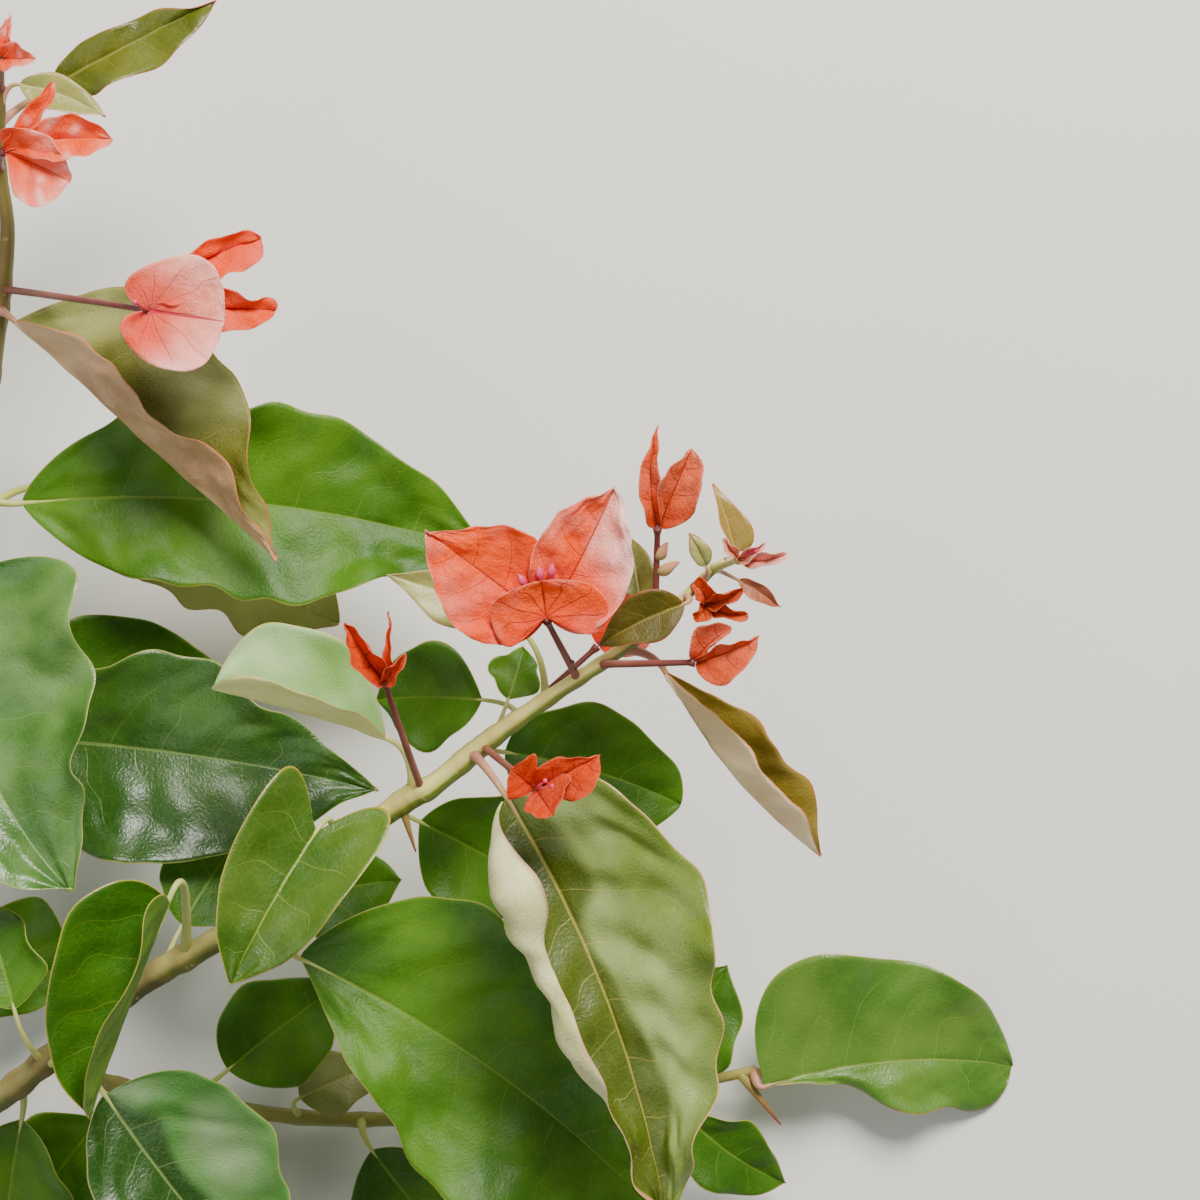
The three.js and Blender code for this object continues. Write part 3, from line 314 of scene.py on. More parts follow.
def limb_line(points, count=LIMB_STEPS):
    """Smooth line through the points: between two of them it is the cubic whose slope at each end is
    half the step between the neighbours. The line is then cut into even lengths."""
    p = np.asarray(points, float)
    p = np.vstack([2 * p[0] - p[1], p, 2 * p[-1] - p[-2]])
    t = (np.arange(SPAN_STEPS) / SPAN_STEPS)[None, :, None]
    a, b, c, d = (p[i:len(p) - 3 + i, None] for i in range(4))
    dense = 0.5 * (2 * b + (c - a) * t + (2 * a - 5 * b + 4 * c - d) * t**2
                   + (3 * b - a - 3 * c + d) * t**3)
    dense = np.vstack([dense.reshape(-1, p.shape[1]), p[-2]])
    run = np.concatenate([[0], np.cumsum(np.linalg.norm(np.diff(dense[:, :3], axis=0), axis=1))])
    even = np.linspace(0, run[-1], count)
    return np.stack([np.interp(even, run, dense[:, k]) for k in range(dense.shape[1])], 1)


def bend(a, b, c, count):
    """Points of the quadratic curve (1-t)^2 a + 2t(1-t) b + t^2 c."""
    t = np.linspace(0, 1, count)[:, None]
    return (1 - t) ** 2 * a + 2 * t * (1 - t) * b + t * t * c


def ripple(x, y, seed, length, height, count=7):
    """Gentle unevenness: a sum of sine waves in seeded directions, each about length long."""
    dice = np.random.default_rng(seed)
    turn = dice.uniform(0, np.pi, count)
    wide = length * dice.uniform(0.6, 1.6, count)
    start = dice.uniform(0, 2 * np.pi, count)
    phase = (x[..., None] * np.cos(turn) + y[..., None] * np.sin(turn)) * 2 * np.pi / wide + start
    return height * np.sin(phase).sum(-1) / np.sqrt(count)


# Blades

def blade(start, q, rows, columns):
    """Middle surface of a leaf or bract on a grid of (rows + 1) x (2 columns + 1), and its fields.
    The rib runs from start, its heading turning by sweep and its rise falling by droop over its length.
    Half the width at s along is width * s^a (1-s)^b over its own peak, for the shape (a, b). Across a
    half, the section sets off at fold from the level across the rib and turns on by curl * v^power,
    which furl shifts from the foot to the tip. The margin ruffles by waves of the given height, up and
    down and half as much in and out. heart draws both lobes of the foot back along the rib."""
    # Rows crowd towards the foot and the tip and stop just short of them
    s = np.clip((1 - np.cos(np.linspace(0, np.pi, rows + 1))) / 2, 0.003, 0.998)
    fine = np.linspace(0, 1, RIB_STEPS + 1)
    run = towards(q["heading"] + q["sweep"] * fine, q["rise"] - q["droop"] * fine) * q["length"]
    path = start + np.vstack([np.zeros(3), np.cumsum((run[1:] + run[:-1]) / 2, axis=0) / RIB_STEPS])
    rib = np.stack([np.interp(s, fine, path[:, k]) for k in range(3)], 1)
    along = towards(q["heading"] + q["sweep"] * s, q["rise"] - q["droop"] * s)
    left = towards(q["heading"] + q["sweep"] * s + 90, 0 * s)
    up = np.cross(along, left)
    # Drawing back of the lobes, which peaks a seventh of the way along
    back = s**0.5 * (1 - s) ** 3 / ((1 / 7) ** 0.5 * (6 / 7) ** 3)
    # Number of side veins, and how far forward they lean towards the margin
    count = 2.2 + 0.058 * q["length"]
    lean = 0.75 * np.mean(q["width"]) / q["length"]
    # Columns crowd towards the rib
    v = np.linspace(0, 1, columns + 1) ** 1.15
    dense = np.linspace(0, 1, SECTION_STEPS + 1)
    spot = np.clip(v * SECTION_STEPS, 0, SECTION_STEPS - 0.001)
    low, rest = spot.astype(int), spot % 1
    halves, fields = [], []
    for side, sign in enumerate((1, -1)):
        a, b = q["shape"][side]
        peak = a / (a + b)
        bulge = s**a * (1 - s) ** b / (peak**a * (1 - peak) ** b)
        wide = (q["width"][side] * bulge)[:, None]
        strength = (1 + q["furl"][side] * (1 - 2 * s))[:, None]
        angle = np.radians(q["fold"][side] + q["curl"][side] * strength * dense ** q["power"][side])
        mid = (angle[:, 1:] + angle[:, :-1]) / 2
        x, z = (np.hstack([np.zeros((rows + 1, 1)), np.cumsum(f(mid), 1)]) / SECTION_STEPS
                for f in (np.cos, np.sin))
        x, z, angle = (g[:, low] * (1 - rest) + g[:, low + 1] * rest for g in (x, z, angle))
        beat = 2 * np.pi * (q["waves"] * s + q["phase"] + 0.35 * side)
        height = q["wave"][side] * (bulge**0.8)[:, None] * v**2
        bump, slide = height * np.sin(beat)[:, None], 0.5 * height * np.cos(beat)[:, None]
        x = x * wide - bump * np.sin(angle) + slide * np.cos(angle)
        z = z * wide + bump * np.cos(angle) + slide * np.sin(angle)
        shift = -q["heart"][side] * q["length"] * back[:, None] * v**1.5
        halves.append(rib[:, None] + sign * left[:, None] * x[..., None] + up[:, None] * z[..., None]
                      + along[:, None] * shift[..., None])
        forward = s[:, None] * q["length"] + shift
        whole = np.ones((rows + 1, columns + 1))
        fields.append(dict(
            along=s[:, None] + 0 * v, across=0 * s[:, None] + v, side=side * whole,
            rib_mm=wide * v, edge_mm=wide * (1 - v), gap_mm=q["length"] / count * whole,
            veins=count * (s[:, None] ** 0.92 - lean * bulge[:, None] * (0.35 * v + 0.65 * v**2.2)),
            foot_mm=np.hypot(wide * v, forward), ray=np.arctan2(wide * v, forward) * SPOKES / np.pi))

    def join(one, two):
        return np.concatenate([two[:, :0:-1], one], 1)

    field = {k: join(fields[0][k], fields[1][k]) for k in fields[0]}
    field["signed"] = field["across"] * (1 - 2 * field["side"])
    return join(*halves), field


def surface_normal(grid):
    """Across the two ways of the grid: the cross product of the step along and the step across."""
    return unit(np.cross(np.gradient(grid, axis=0), np.gradient(grid, axis=1)))


def shell(grid, upper, lower):
    """Closed thin body: the grid moved out by upper along its normal and in by lower, joined by a rim
    of quads around the margin. Returns points, quads and how many quads are on each of the three parts."""
    rows, columns = grid.shape[0] - 1, grid.shape[1] - 1
    normal = surface_normal(grid)
    points = np.vstack([(grid + normal * upper[..., None]).reshape(-1, 3),
                        (grid - normal * lower[..., None]).reshape(-1, 3)])
    i, j = np.meshgrid(np.arange(rows), np.arange(columns), indexing="ij")
    a, b = i * (columns + 1) + j, (i + 1) * (columns + 1) + j
    top = np.stack([a, b, b + 1, a + 1], -1).reshape(-1, 4)
    n = grid.shape[0] * grid.shape[1]
    index = np.arange(n).reshape(rows + 1, columns + 1)
    loop = np.concatenate([index[:-1, 0], index[-1, :-1], index[:0:-1, -1], index[0, :0:-1]])
    ahead = np.roll(loop, -1)
    rim = np.stack([loop + n, ahead + n, ahead, loop], 1)
    return points, np.vstack([top, top[:, ::-1] + n, rim]), (len(top), len(top), len(rim))


def vein_puff(f):
    """Web between the side veins: 0 on each vein and 1 half way to the next."""
    return np.sin(np.pi * (f["veins"] + 0.5 * f["side"])) ** 2


def leaf_body(start, leaf, seed):
    """Leaf blade: the middle surface with soft unevenness, the web puffed up between the side veins, the
    margin wandering up and down and in and out, the rib sunk in the upper face and standing out as a
    ridge below, and thinner at the margin."""
    length, width = leaf["length"], np.mean(leaf["width"])
    rows, columns = int(np.clip(1.15 * length, 24, 112)), int(np.clip(1.05 * width, 7, 28))
    grid, f = blade(start, leaf, rows, columns)
    size = min(1, 0.3 + length / 100)
    body = np.sin(np.pi * np.clip(f["across"], 0, 1)) ** 0.7 * ease(f["along"], 0, 0.15)
    x, y = f["signed"] * width, f["along"] * length
    f["veins"] = f["veins"] + ripple(x, y, seed + 70, 16, 0.16) * ease(f["across"], 0, 0.6)
    quilt = leaf["quilt"]
    crease = (0.042 * quilt * f["gap_mm"] * vein_puff(f) + ripple(x, y, seed, 22, 0.55 * size)
              + ripple(x, y, seed + 30, 8, 0.1 * quilt * size)) * body
    margin = (ripple(x * 0, y, seed + 900, 9, 0.35 * size) * f["across"] ** 4
              + ripple(f["side"] * 40, y, seed + 950, 19, 1.05 * size) * f["across"] ** 2)
    margin = margin * ease(f["along"], 0, 0.2)
    outward = unit(np.gradient(grid, axis=1)) * np.sign(f["signed"])[..., None]
    reach = ripple(f["side"] * 40, y, seed + 970, 17, 1.05 * size) * f["across"] ** 3
    reach = reach * ease(f["along"], 0.08, 0.3) * ease(f["along"], 1, 0.8)
    grid = grid + surface_normal(grid) * (crease + margin)[..., None] + outward * reach[..., None]
    rib = np.exp(-(f["rib_mm"] / (0.75 * size)) ** 2) * (1 - 0.8 * f["along"])
    off = (1 - np.abs(2 * ((f["veins"] + 0.5 * f["side"]) % 1) - 1)) * f["gap_mm"] / 2
    side_vein = np.exp(-(off / 0.6) ** 2)
    half = LEAF_SKIN / 2 * (0.35 + 0.65 * ease(f["edge_mm"], 0, 1.2))
    upper = half - 0.22 * size * rib
    lower = half + 0.55 * size * rib + 0.12 * size * side_vein * body
    points, quads, counts = shell(grid, upper, lower)
    slots = np.repeat([0, 1, 1], counts)
    return points, quads, slots, {k: np.tile(g.ravel(), 2) for k, g in f.items()}, grid


def bract_body(start, bract, seed):
    """Papery bract: a thin blade with fine crinkles, its web puffed between the veins, and a thin rib.
    The blush field, pink that is partly the bract's own and partly a painted highlight where a half is
    given a high share, gathers away from the foot, at the margin and at the tip, and fan marks the heart
    shaped bracts, whose veins spread from the foot."""
    length, width = bract["length"], np.mean(bract["width"])
    rows, columns = int(np.clip(1.7 * length, 14, 60)), int(np.clip(1.9 * width, 6, 26))
    grid, f = blade(start, bract, rows, columns)
    size = min(1, length / 30)
    x, y = f["signed"] * width, f["along"] * length
    f["ray"] = f["ray"] + ripple(x, y, seed + 90, 8, 0.14)
    f["fan"] = np.full(f["ray"].shape, float(max(bract["heart"]) > 0.3))
    body = ease(f["across"], 0, 0.25) * ease(f["along"], 0, 0.2)
    crease = (0.085 * f["gap_mm"] * vein_puff(f) + ripple(x, y, seed, 3.4, 0.17 * size, 9)
              + ripple(x, y, seed + 50, 11, 0.42 * size)) * body
    grid = grid + surface_normal(grid) * crease[..., None]
    rib = np.exp(-(f["rib_mm"] / (0.35 + 0.25 * size)) ** 2) * (1 - 0.7 * f["along"])
    half = BRACT_SKIN / 2 * (0.5 + 0.5 * ease(f["edge_mm"], 0, 0.8))
    points, quads, _ = shell(grid, half - 0.08 * size * rib, half + 0.22 * size * rib)
    # Each half's share of blush; a high share on one half is a painted highlight on its lit side.
    left, right = bract["blush"]
    mixed = left + (right - left) * ease(-f["signed"], -0.12, 0.12)
    mixed = mixed * (0.15 + 0.85 * ease(f["along"], 0.2, 0.65)) * (0.5 + 0.5 * f["across"] ** 1.5)
    f["blush"] = np.clip(mixed + (0.05 + 0.2 * mixed) * f["across"] ** 8
                         + (0.08 + 0.4 * mixed) * ease(f["along"], 0.75, 1.0), 0, 1)
    return points, quads, {k: np.tile(g.ravel(), 2) for k, g in f.items()}


# Meshes

def closed_tube(path, radii, sides, dent=None):
    """Round bar: at each point of the path a ring of the given radius stands square to the path, turned
    from the normal of the path's own best plane, and a fan closes each end. dent(u, turn) multiplies the
    radius by place along and around. Returns points, quads, triangles, and fields along and around."""
    t = unit(np.gradient(path, axis=0))
    flat = np.linalg.svd(path - path.mean(0), full_matrices=False)[2][-1]
    b = unit(flat - (t @ flat)[:, None] * t)
    a = np.cross(b, t)
    turn = np.arange(sides) * 2 * np.pi / sides
    run = np.concatenate([[0], np.cumsum(np.linalg.norm(np.diff(path, axis=0), axis=1))])
    u = run / run[-1]
    r = np.asarray(radii)[:, None] * np.ones(sides)
    if dent is not None:
        r = r * dent(u[:, None], turn[None])
    ring = path[:, None] + r[..., None] * (np.cos(turn)[None, :, None] * a[:, None]
                                           + np.sin(turn)[None, :, None] * b[:, None])
    points = np.vstack([ring.reshape(-1, 3), path[:1], path[-1:]])
    rows = len(path)
    i, k = np.meshgrid(np.arange(rows - 1), np.arange(sides), indexing="ij")
    n = (k + 1) % sides
    quads = np.stack([i * sides + k, i * sides + n, (i + 1) * sides + n, (i + 1) * sides + k], -1)
    k = np.arange(sides)
    n, last = (k + 1) % sides, (rows - 1) * sides
    fans = np.vstack([np.stack([0 * k + rows * sides, n, k], 1),
                      np.stack([0 * k + rows * sides + 1, last + k, last + n], 1)])
    fields = dict(along=np.concatenate([np.repeat(u, sides), [0, 1]]),
                  around=np.concatenate([np.tile(turn / (2 * np.pi), rows), [0, 0]]))
    return points, quads.reshape(-1, 4), fans, fields


def part(points, quads, tris, slots, fields):
    """One closed body of a piece, with a finish number for all its faces or for each. A body that is
    inside out is turned."""
    tris = np.zeros((0, 3), int) if tris is None else tris
    split = np.vstack([tris, quads[:, [0, 1, 2]], quads[:, [0, 2, 3]]])
    a, b, c = (points[split[:, k]] - points.mean(0) for k in range(3))
    if (np.cross(a, b) * c).sum() < 0:
        quads, tris = quads[:, ::-1], tris[:, ::-1]
    slots = np.full(len(quads) + len(tris), slots) if np.isscalar(slots) else slots
    return dict(points=points, quads=quads, tris=tris, slots=slots, fields=fields)


def tube_part(path, radii, sides, slot, dent=None):
    """Round bar as one body of a piece."""
    points, quads, tris, fields = closed_tube(path, radii, sides, dent)
    return part(points, quads, tris, slot, fields)


def lay(name, parts, finishes):
    """One mesh from its parts, moved to the frame, in metres. The parts' fields become attributes and
    the UV map (around or across, and along). The mesh replaces the node of its own name, which is
    hidden, and rides on the root body."""
    keys = sorted({k for part in parts for k in part["fields"]})
    points = np.vstack([part["points"] for part in parts])
    base = np.cumsum([0] + [len(part["points"]) for part in parts])
    quads = np.vstack([part["quads"] + b for part, b in zip(parts, base)])
    tris = np.vstack([part["tris"] + b for part, b in zip(parts, base)])
    corners = np.concatenate([quads.ravel(), tris.ravel()]).astype(np.int32)
    size = np.concatenate([np.full(len(quads), 4), np.full(len(tris), 3)])
    mesh = bpy.data.meshes.new(name)
    mesh.vertices.add(len(points))
    mesh.vertices.foreach_set("co", ((points - CENTRE) * MM).astype(np.float32).ravel())
    mesh.loops.add(len(corners))
    mesh.loops.foreach_set("vertex_index", corners)
    mesh.polygons.add(len(size))
    mesh.polygons.foreach_set("loop_start", (np.cumsum(size) - size).astype(np.int32))
    mesh.polygons.foreach_set("material_index", np.concatenate(
        [part["slots"][:len(part["quads"])] for part in parts]
        + [part["slots"][len(part["quads"]):] for part in parts]).astype(np.int32))
    mesh.polygons.foreach_set("use_smooth", np.ones(len(size), bool))
    for key in keys:
        values = [part["fields"].get(key, np.zeros(len(part["points"]))) for part in parts]
        mesh.attributes.new(key, "FLOAT", "POINT").data.foreach_set(
            "value", np.concatenate(values).astype(np.float32))
    across = np.concatenate([part["fields"]["signed"] / 2 + 0.5 if "signed" in part["fields"]
                             else part["fields"]["around"] for part in parts])
    along = np.concatenate([part["fields"]["along"] for part in parts])
    mesh.uv_layers.new(name="UVMap").data.foreach_set(
        "uv", np.stack([across, along], 1)[corners].astype(np.float32).ravel())
    mesh.update(calc_edges=True)
    mesh.validate()
    for finish in finishes:
        mesh.materials.append(finish)
    piece = bpy.data.objects.new(name, mesh)
    bpy.context.scene.collection.objects.link(piece)
    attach(piece, "root")
    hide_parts(name)


# Wiring of the finishes

def paint(code):
    """Linear colour of a screen colour given as six hex figures."""
    c = np.array([int(code[i:i + 2], 16) for i in (0, 2, 4)]) / 255
    c = np.where(c <= 0.04045, c / 12.92, ((c + 0.055) / 1.055) ** 2.4)
    return (*c.tolist(), 1.0)


class Wiring:
    """Puts nodes into one tree, in rows of twelve, and joins them. A value is a number or a socket."""

    def __init__(self, tree):
        self.tree = tree

    def put(self, kind, settings=(), **sockets):
        node = self.tree.nodes.new(kind)
        row, column = divmod(len(self.tree.nodes), 12)
        node.location = (200 * column, -260 * row)
        for key, value in dict(settings).items():
            setattr(node, key, value)
        for key, value in sockets.items():
            self.feed(node.inputs[key.replace("_", " ")], value)
        return node

    def feed(self, socket, value):
        if isinstance(value, bpy.types.NodeSocket):
            self.tree.links.new(value, socket)
        else:
            socket.default_value = value

    def feed_all(self, node, values, spots=(0, 1, 2)):
        for spot, value in zip(spots, values):
            self.feed(node.inputs[spot], value)

    def math(self, operation, a, b=0.0, c=0.0, clamp=False):
        node = self.put("ShaderNodeMath", dict(operation=operation, use_clamp=clamp))
        self.feed_all(node, (a, b, c))
        return node.outputs[0]

    def times(self, first, *others):
        """Product of the values."""
        for other in others:
            first = self.math("MULTIPLY", first, other)
        return first

    def plus(self, value, share, start, clamp=False):
        """value times share, plus start."""
        return self.math("MULTIPLY_ADD", value, share, start, clamp)

    def less(self, a, b):
        """a less b."""
        return self.math("SUBTRACT", a, b)

    def off_whole(self, value):
        """How far a value is from the nearest whole number."""
        return self.math("ABSOLUTE", self.less(self.math("FRACT", self.math("ADD", value, 0.5)), 0.5))

    def mix(self, share, a, b):
        """Colour a, turned to b by its share."""
        node = self.put("ShaderNodeMix", dict(data_type="RGBA"))
        self.feed_all(node, (share, a, b), (0, 6, 7))
        return node.outputs[2]

    def ease(self, value, low, high):
        """0 at low, 1 at high, flat beyond them and smooth between."""
        node = self.put("ShaderNodeMapRange", dict(interpolation_type="SMOOTHSTEP"))
        self.feed_all(node, (value, low, high))
        return node.outputs[0]

    def field(self, name):
        """The piece's own attribute."""
        return self.put("ShaderNodeAttribute", dict(attribute_name=name)).outputs["Fac"]

    def noise(self, place, scale, detail=2.0, rough=0.5):
        return self.put("ShaderNodeTexNoise", Vector=place, Scale=scale, Detail=detail,
                        Roughness=rough).outputs[0]

    def cells(self, place, scale, feature="DISTANCE_TO_EDGE"):
        return self.put("ShaderNodeTexVoronoi", dict(feature=feature), Vector=place,
                        Scale=scale).outputs["Distance"]

    def group(self, tree, **sockets):
        return self.put("ShaderNodeGroup", dict(node_tree=tree), **sockets).outputs


def shared(name, inputs, outputs, wire):
    """Node group with the named inputs and their defaults, None for a vector, and the named outputs."""
    tree = bpy.data.node_groups.new(name, "ShaderNodeTree")
    for label, value in inputs.items():
        kind = "NodeSocketVector" if value is None else "NodeSocketFloat"
        socket = tree.interface.new_socket(label, in_out="INPUT", socket_type=kind)
        if value is not None:
            socket.default_value = value
    for label in outputs:
        tree.interface.new_socket(label, in_out="OUTPUT", socket_type="NodeSocketFloat")
    w = Wiring(tree)
    start, end = w.put("NodeGroupInput").outputs, w.put("NodeGroupOutput")
    for label, value in wire(w, start).items():
        w.feed(end.inputs[label], value)
    return tree


def wire_veins(w, given):
    """Rib: 1 on the middle vein, which thins towards the tip. Side veins: 1 where the vein count passes
    a whole number, half a count later on the other side, fading before the margin. Margin: 1 on the
    edge."""
    line = w.times(w.plus(given["Along"], -0.75, 1.0), given["Rib width"])
    rib = w.less(1.0, w.ease(given["Rib mm"], w.times(line, 0.55), line))
    off = w.times(w.off_whole(w.plus(given["Side"], 0.5, given["Veins"])), given["Gap mm"])
    width = w.times(w.plus(given["Across"], -0.6, 1.0), given["Vein width"])
    vein = w.less(1.0, w.ease(off, w.times(width, 0.35), width))
    vein = w.times(vein, w.ease(given["Across"], 0.98, 0.7), w.ease(given["Along"], 0.02, 0.06))
    margin = w.ease(given["Edge mm"], w.times(given["Margin"], 0.4), given["Margin"])
    return {"Rib": rib, "Side veins": vein, "Margin": w.less(1.0, margin)}


def wire_net(w, given):
    """Fine net: 1 on the borders of irregular cells, broad and small, and the small cells' own swell. The
    cells are shifted by up to 2.2 mm of slow noise."""
    wander = w.put("ShaderNodeTexNoise", Vector=given["Place"], Scale=420.0, Detail=2.0).outputs["Color"]
    askew = w.put("ShaderNodeVectorMath", dict(operation="MULTIPLY_ADD"))
    w.feed_all(askew, (wander, (2.2 * MM,) * 3, given["Place"]))
    broad, small = (w.cells(askew.outputs[0], given[size]) for size in ("Broad", "Small"))
    return {"Broad net": w.less(1.0, w.ease(broad, 0.0, 0.07)),
            "Small net": w.less(1.0, w.ease(small, 0.0, 0.16)),
            "Swell": w.ease(small, 0.0, 0.4)}


def wire_blotch(w, given):
    """Cloudy light and dark: slow noise with its middle tones spread, and a faster one laid over it."""
    slow = w.ease(w.noise(given["Place"], given["Size"]), 0.32, 0.68)
    fast = w.noise(given["Place"], w.times(given["Size"], 7.0), 3.0, 0.6)
    return {"Cloud": w.math("ADD", w.times(slow, 0.75), w.times(fast, 0.25), clamp=True)}


VEIN_INPUTS = {"Along": 0.0, "Across": 0.0, "Side": 0.0, "Rib mm": 0.0, "Edge mm": 0.0, "Veins": 0.0,
               "Gap mm": 10.0, "Rib width": 0.7, "Vein width": 0.3, "Margin": 0.6}
VEINS = shared("leaf veins", VEIN_INPUTS, ("Rib", "Side veins", "Margin"), wire_veins)
NET = shared("fine net", {"Place": None, "Broad": 300.0, "Small": 900.0},
             ("Broad net", "Small net", "Swell"), wire_net)
BLOTCH = shared("cloudy tone", {"Place": None, "Size": 55.0}, ("Cloud",), wire_blotch)


def new_finish(name):
    """New material; returns it, its wiring and its Object coordinates."""
    finish = bpy.data.materials.new(name)
    finish.use_nodes = True
    w = Wiring(finish.node_tree)
    return finish, w, w.put("ShaderNodeTexCoord").outputs["Object"]


def cloudy(w, place, size):
    """The cloudy tone group at a place."""
    return w.group(BLOTCH, Place=place, Size=size)["Cloud"]


def dress(finish, w, colour, rough, height=None, relief=(0.5, 0.2), glow=0.0, depth=None, shine=0.5):
    """Joins colour, roughness and relief to the material's shader. relief is its strength and its height
    in millimetres. glow is the share of the light that spreads inside, by a millimetre times depth, which
    is given for each colour."""
    inputs = finish.node_tree.nodes["Principled BSDF"].inputs
    w.feed(inputs["Base Color"], colour)
    w.feed(inputs["Roughness"], rough)
    if height is not None:
        bump = w.put("ShaderNodeBump", Strength=relief[0], Distance=relief[1] * MM, Height=height)
        w.feed(inputs["Normal"], bump.outputs[0])
    if glow:
        inputs["Subsurface Weight"].default_value = glow
        inputs["Subsurface Scale"].default_value = MM
    if depth:
        inputs["Subsurface Radius"].default_value = depth
    inputs["Specular IOR Level"].default_value = shine
    return finish


def vein_masks(w, rib, vein, margin):
    """The vein group joined to the piece's own fields."""
    return w.group(VEINS, Along=w.field("along"), Across=w.field("across"), Side=w.field("side"),
                   Rib_mm=w.field("rib_mm"), Edge_mm=w.field("edge_mm"), Veins=w.field("veins"),
                   Gap_mm=w.field("gap_mm"), Rib_width=rib, Vein_width=vein, Margin=margin)


# Finishes

def leaf_finish(name, deep, light, vein, margin, rough=0.36, net=0.05, lines=0.3, raised=-1.0,
                dark=None, shine=0.5):
    """One face of a leaf: cloudy green, paler rib and side veins, a faint net, a thin coloured margin,
    and the relief of veins and net. dark is a painted shadow: a darker green laid on the right half up
    to past the rib, where the leaf lies in shade, and then the left half greens towards its margin."""
    finish, w, place = new_finish(name)
    cloud = cloudy(w, place, 48.0)
    masks = vein_masks(w, 0.55, 0.2, 0.36)
    mesh = w.group(NET, Place=place)
    colour = w.mix(cloud, paint(deep), paint(light))
    # Painted shadow: the dark green covers the right half and past the rib, up to a wandering edge.
    if dark:
        edge = w.plus(w.noise(place, 45.0, 1.0), 0.9, w.less(w.field("signed"), 0.45))
        rim = w.times(w.ease(w.field("across"), 0.5, 1.0), 0.75)
        colour = w.mix(w.ease(edge, 0.34, 0.16), w.mix(rim, colour, paint(deep)), paint(dark))
    for mask, share in ((mesh["Small net"], net * 0.6), (mesh["Broad net"], net * 1.6),
                        (masks["Side veins"], lines), (masks["Rib"], min(1.0, lines * 1.7))):
        colour = w.mix(w.times(mask, share), colour, paint(vein))
    colour = w.mix(w.times(masks["Margin"], 0.75), colour, paint(margin))
    grain = w.math("ADD", cloud, w.noise(place, 900.0))
    height = w.plus(masks["Side veins"], raised * 0.4, w.times(mesh["Swell"], 0.5))
    height = w.plus(masks["Rib"], raised * 0.6, height)
    height = w.plus(w.noise(place, 260.0, 3.0, 0.6), 0.7, height)
    return dress(finish, w, colour, w.plus(grain, 0.08, rough - 0.08), height, (0.45, 0.18), 0.12,
                 (0.6, 1.0, 0.25), shine)


def bract_finish(name, deep, coral, pink, rib, net=0.22, streak=0.0, rib_width=0.34):
    """Papery bract: deep at the foot, coral, then pink by the blush field, which is partly the bract's own
    pink and partly a painted highlight, with pale streaks if asked, a fine net of veins that turn pale as
    painted light where the blush is high, a thin dark rib, a dark throat and a crinkled face. Where the
    fan field is 1, the side veins give way to spokes from the foot."""
    finish, w, place = new_finish(name)
    cloud = cloudy(w, place, 110.0)
    masks = vein_masks(w, rib_width, 0.17, 0.3)
    mesh = w.group(NET, Place=place, Broad=420.0, Small=1100.0)
    along, fan, foot_mm = w.field("along"), w.field("fan"), w.field("foot_mm")
    foot = w.plus(w.ease(along, 0.55, 0.0), 0.7, w.times(cloud, 0.3), clamp=True)
    blush = w.plus(w.less(cloud, 0.6), 0.25, w.field("blush"), clamp=True)
    colour = w.mix(blush, w.mix(foot, paint(coral), paint(deep)), paint(pink))
    if streak:
        rays = w.math("FRACT", w.plus(w.field("side"), 0.5, w.field("veins")))
        ray = w.times(w.ease(rays, 0.15, 0.5), w.ease(rays, 0.85, 0.5),
                      w.ease(w.noise(place, 160.0), 0.38, 0.62), w.ease(along, 0.25, 0.6))
        colour = w.mix(w.times(ray, streak), colour, paint("F6D9D2"))
    # Painted light: the veins turn pale where the blush is high, as if the light shone through them.
    line = w.mix(w.ease(blush, 0.15, 0.45), paint(rib), paint("FFDCCB"))
    apart = w.times(w.off_whole(w.field("ray")), np.pi / SPOKES, foot_mm)
    spoke = w.times(w.ease(apart, 0.26, 0.06), w.ease(w.field("edge_mm"), 0.2, 2.2),
                    w.ease(foot_mm, 0.2, 1.2), fan)
    side = w.times(masks["Side veins"], w.less(1.0, fan))
    for mask, share in ((mesh["Broad net"], net), (mesh["Small net"], net * 0.35), (side, net * 1.8)):
        colour = w.mix(w.times(mask, share), colour, line)
    throat = w.times(w.ease(w.field("rib_mm"), 1.8, 0.2), w.ease(along, 0.16, 0.02))
    centre = w.math("MAXIMUM", w.times(masks["Rib"], 0.75), w.times(throat, 0.7))
    colour = w.mix(w.times(spoke, min(0.55, net * 2.4)), colour, paint(rib))
    colour = w.mix(centre, colour, paint(rib))
    colour = w.mix(w.times(masks["Margin"], 0.2), colour, paint(pink))
    height = w.plus(mesh["Swell"], 0.5, w.times(w.noise(place, 700.0, 3.0, 0.6), 1.5))
    height = w.plus(w.math("ADD", side, spoke), -0.7, height)
    height = w.plus(masks["Rib"], -0.6, height)
    return dress(finish, w, colour, w.plus(cloud, 0.15, 0.5), height, (0.7, 0.2), 0.2,
                 (1.0, 0.25, 0.1), 0.18)


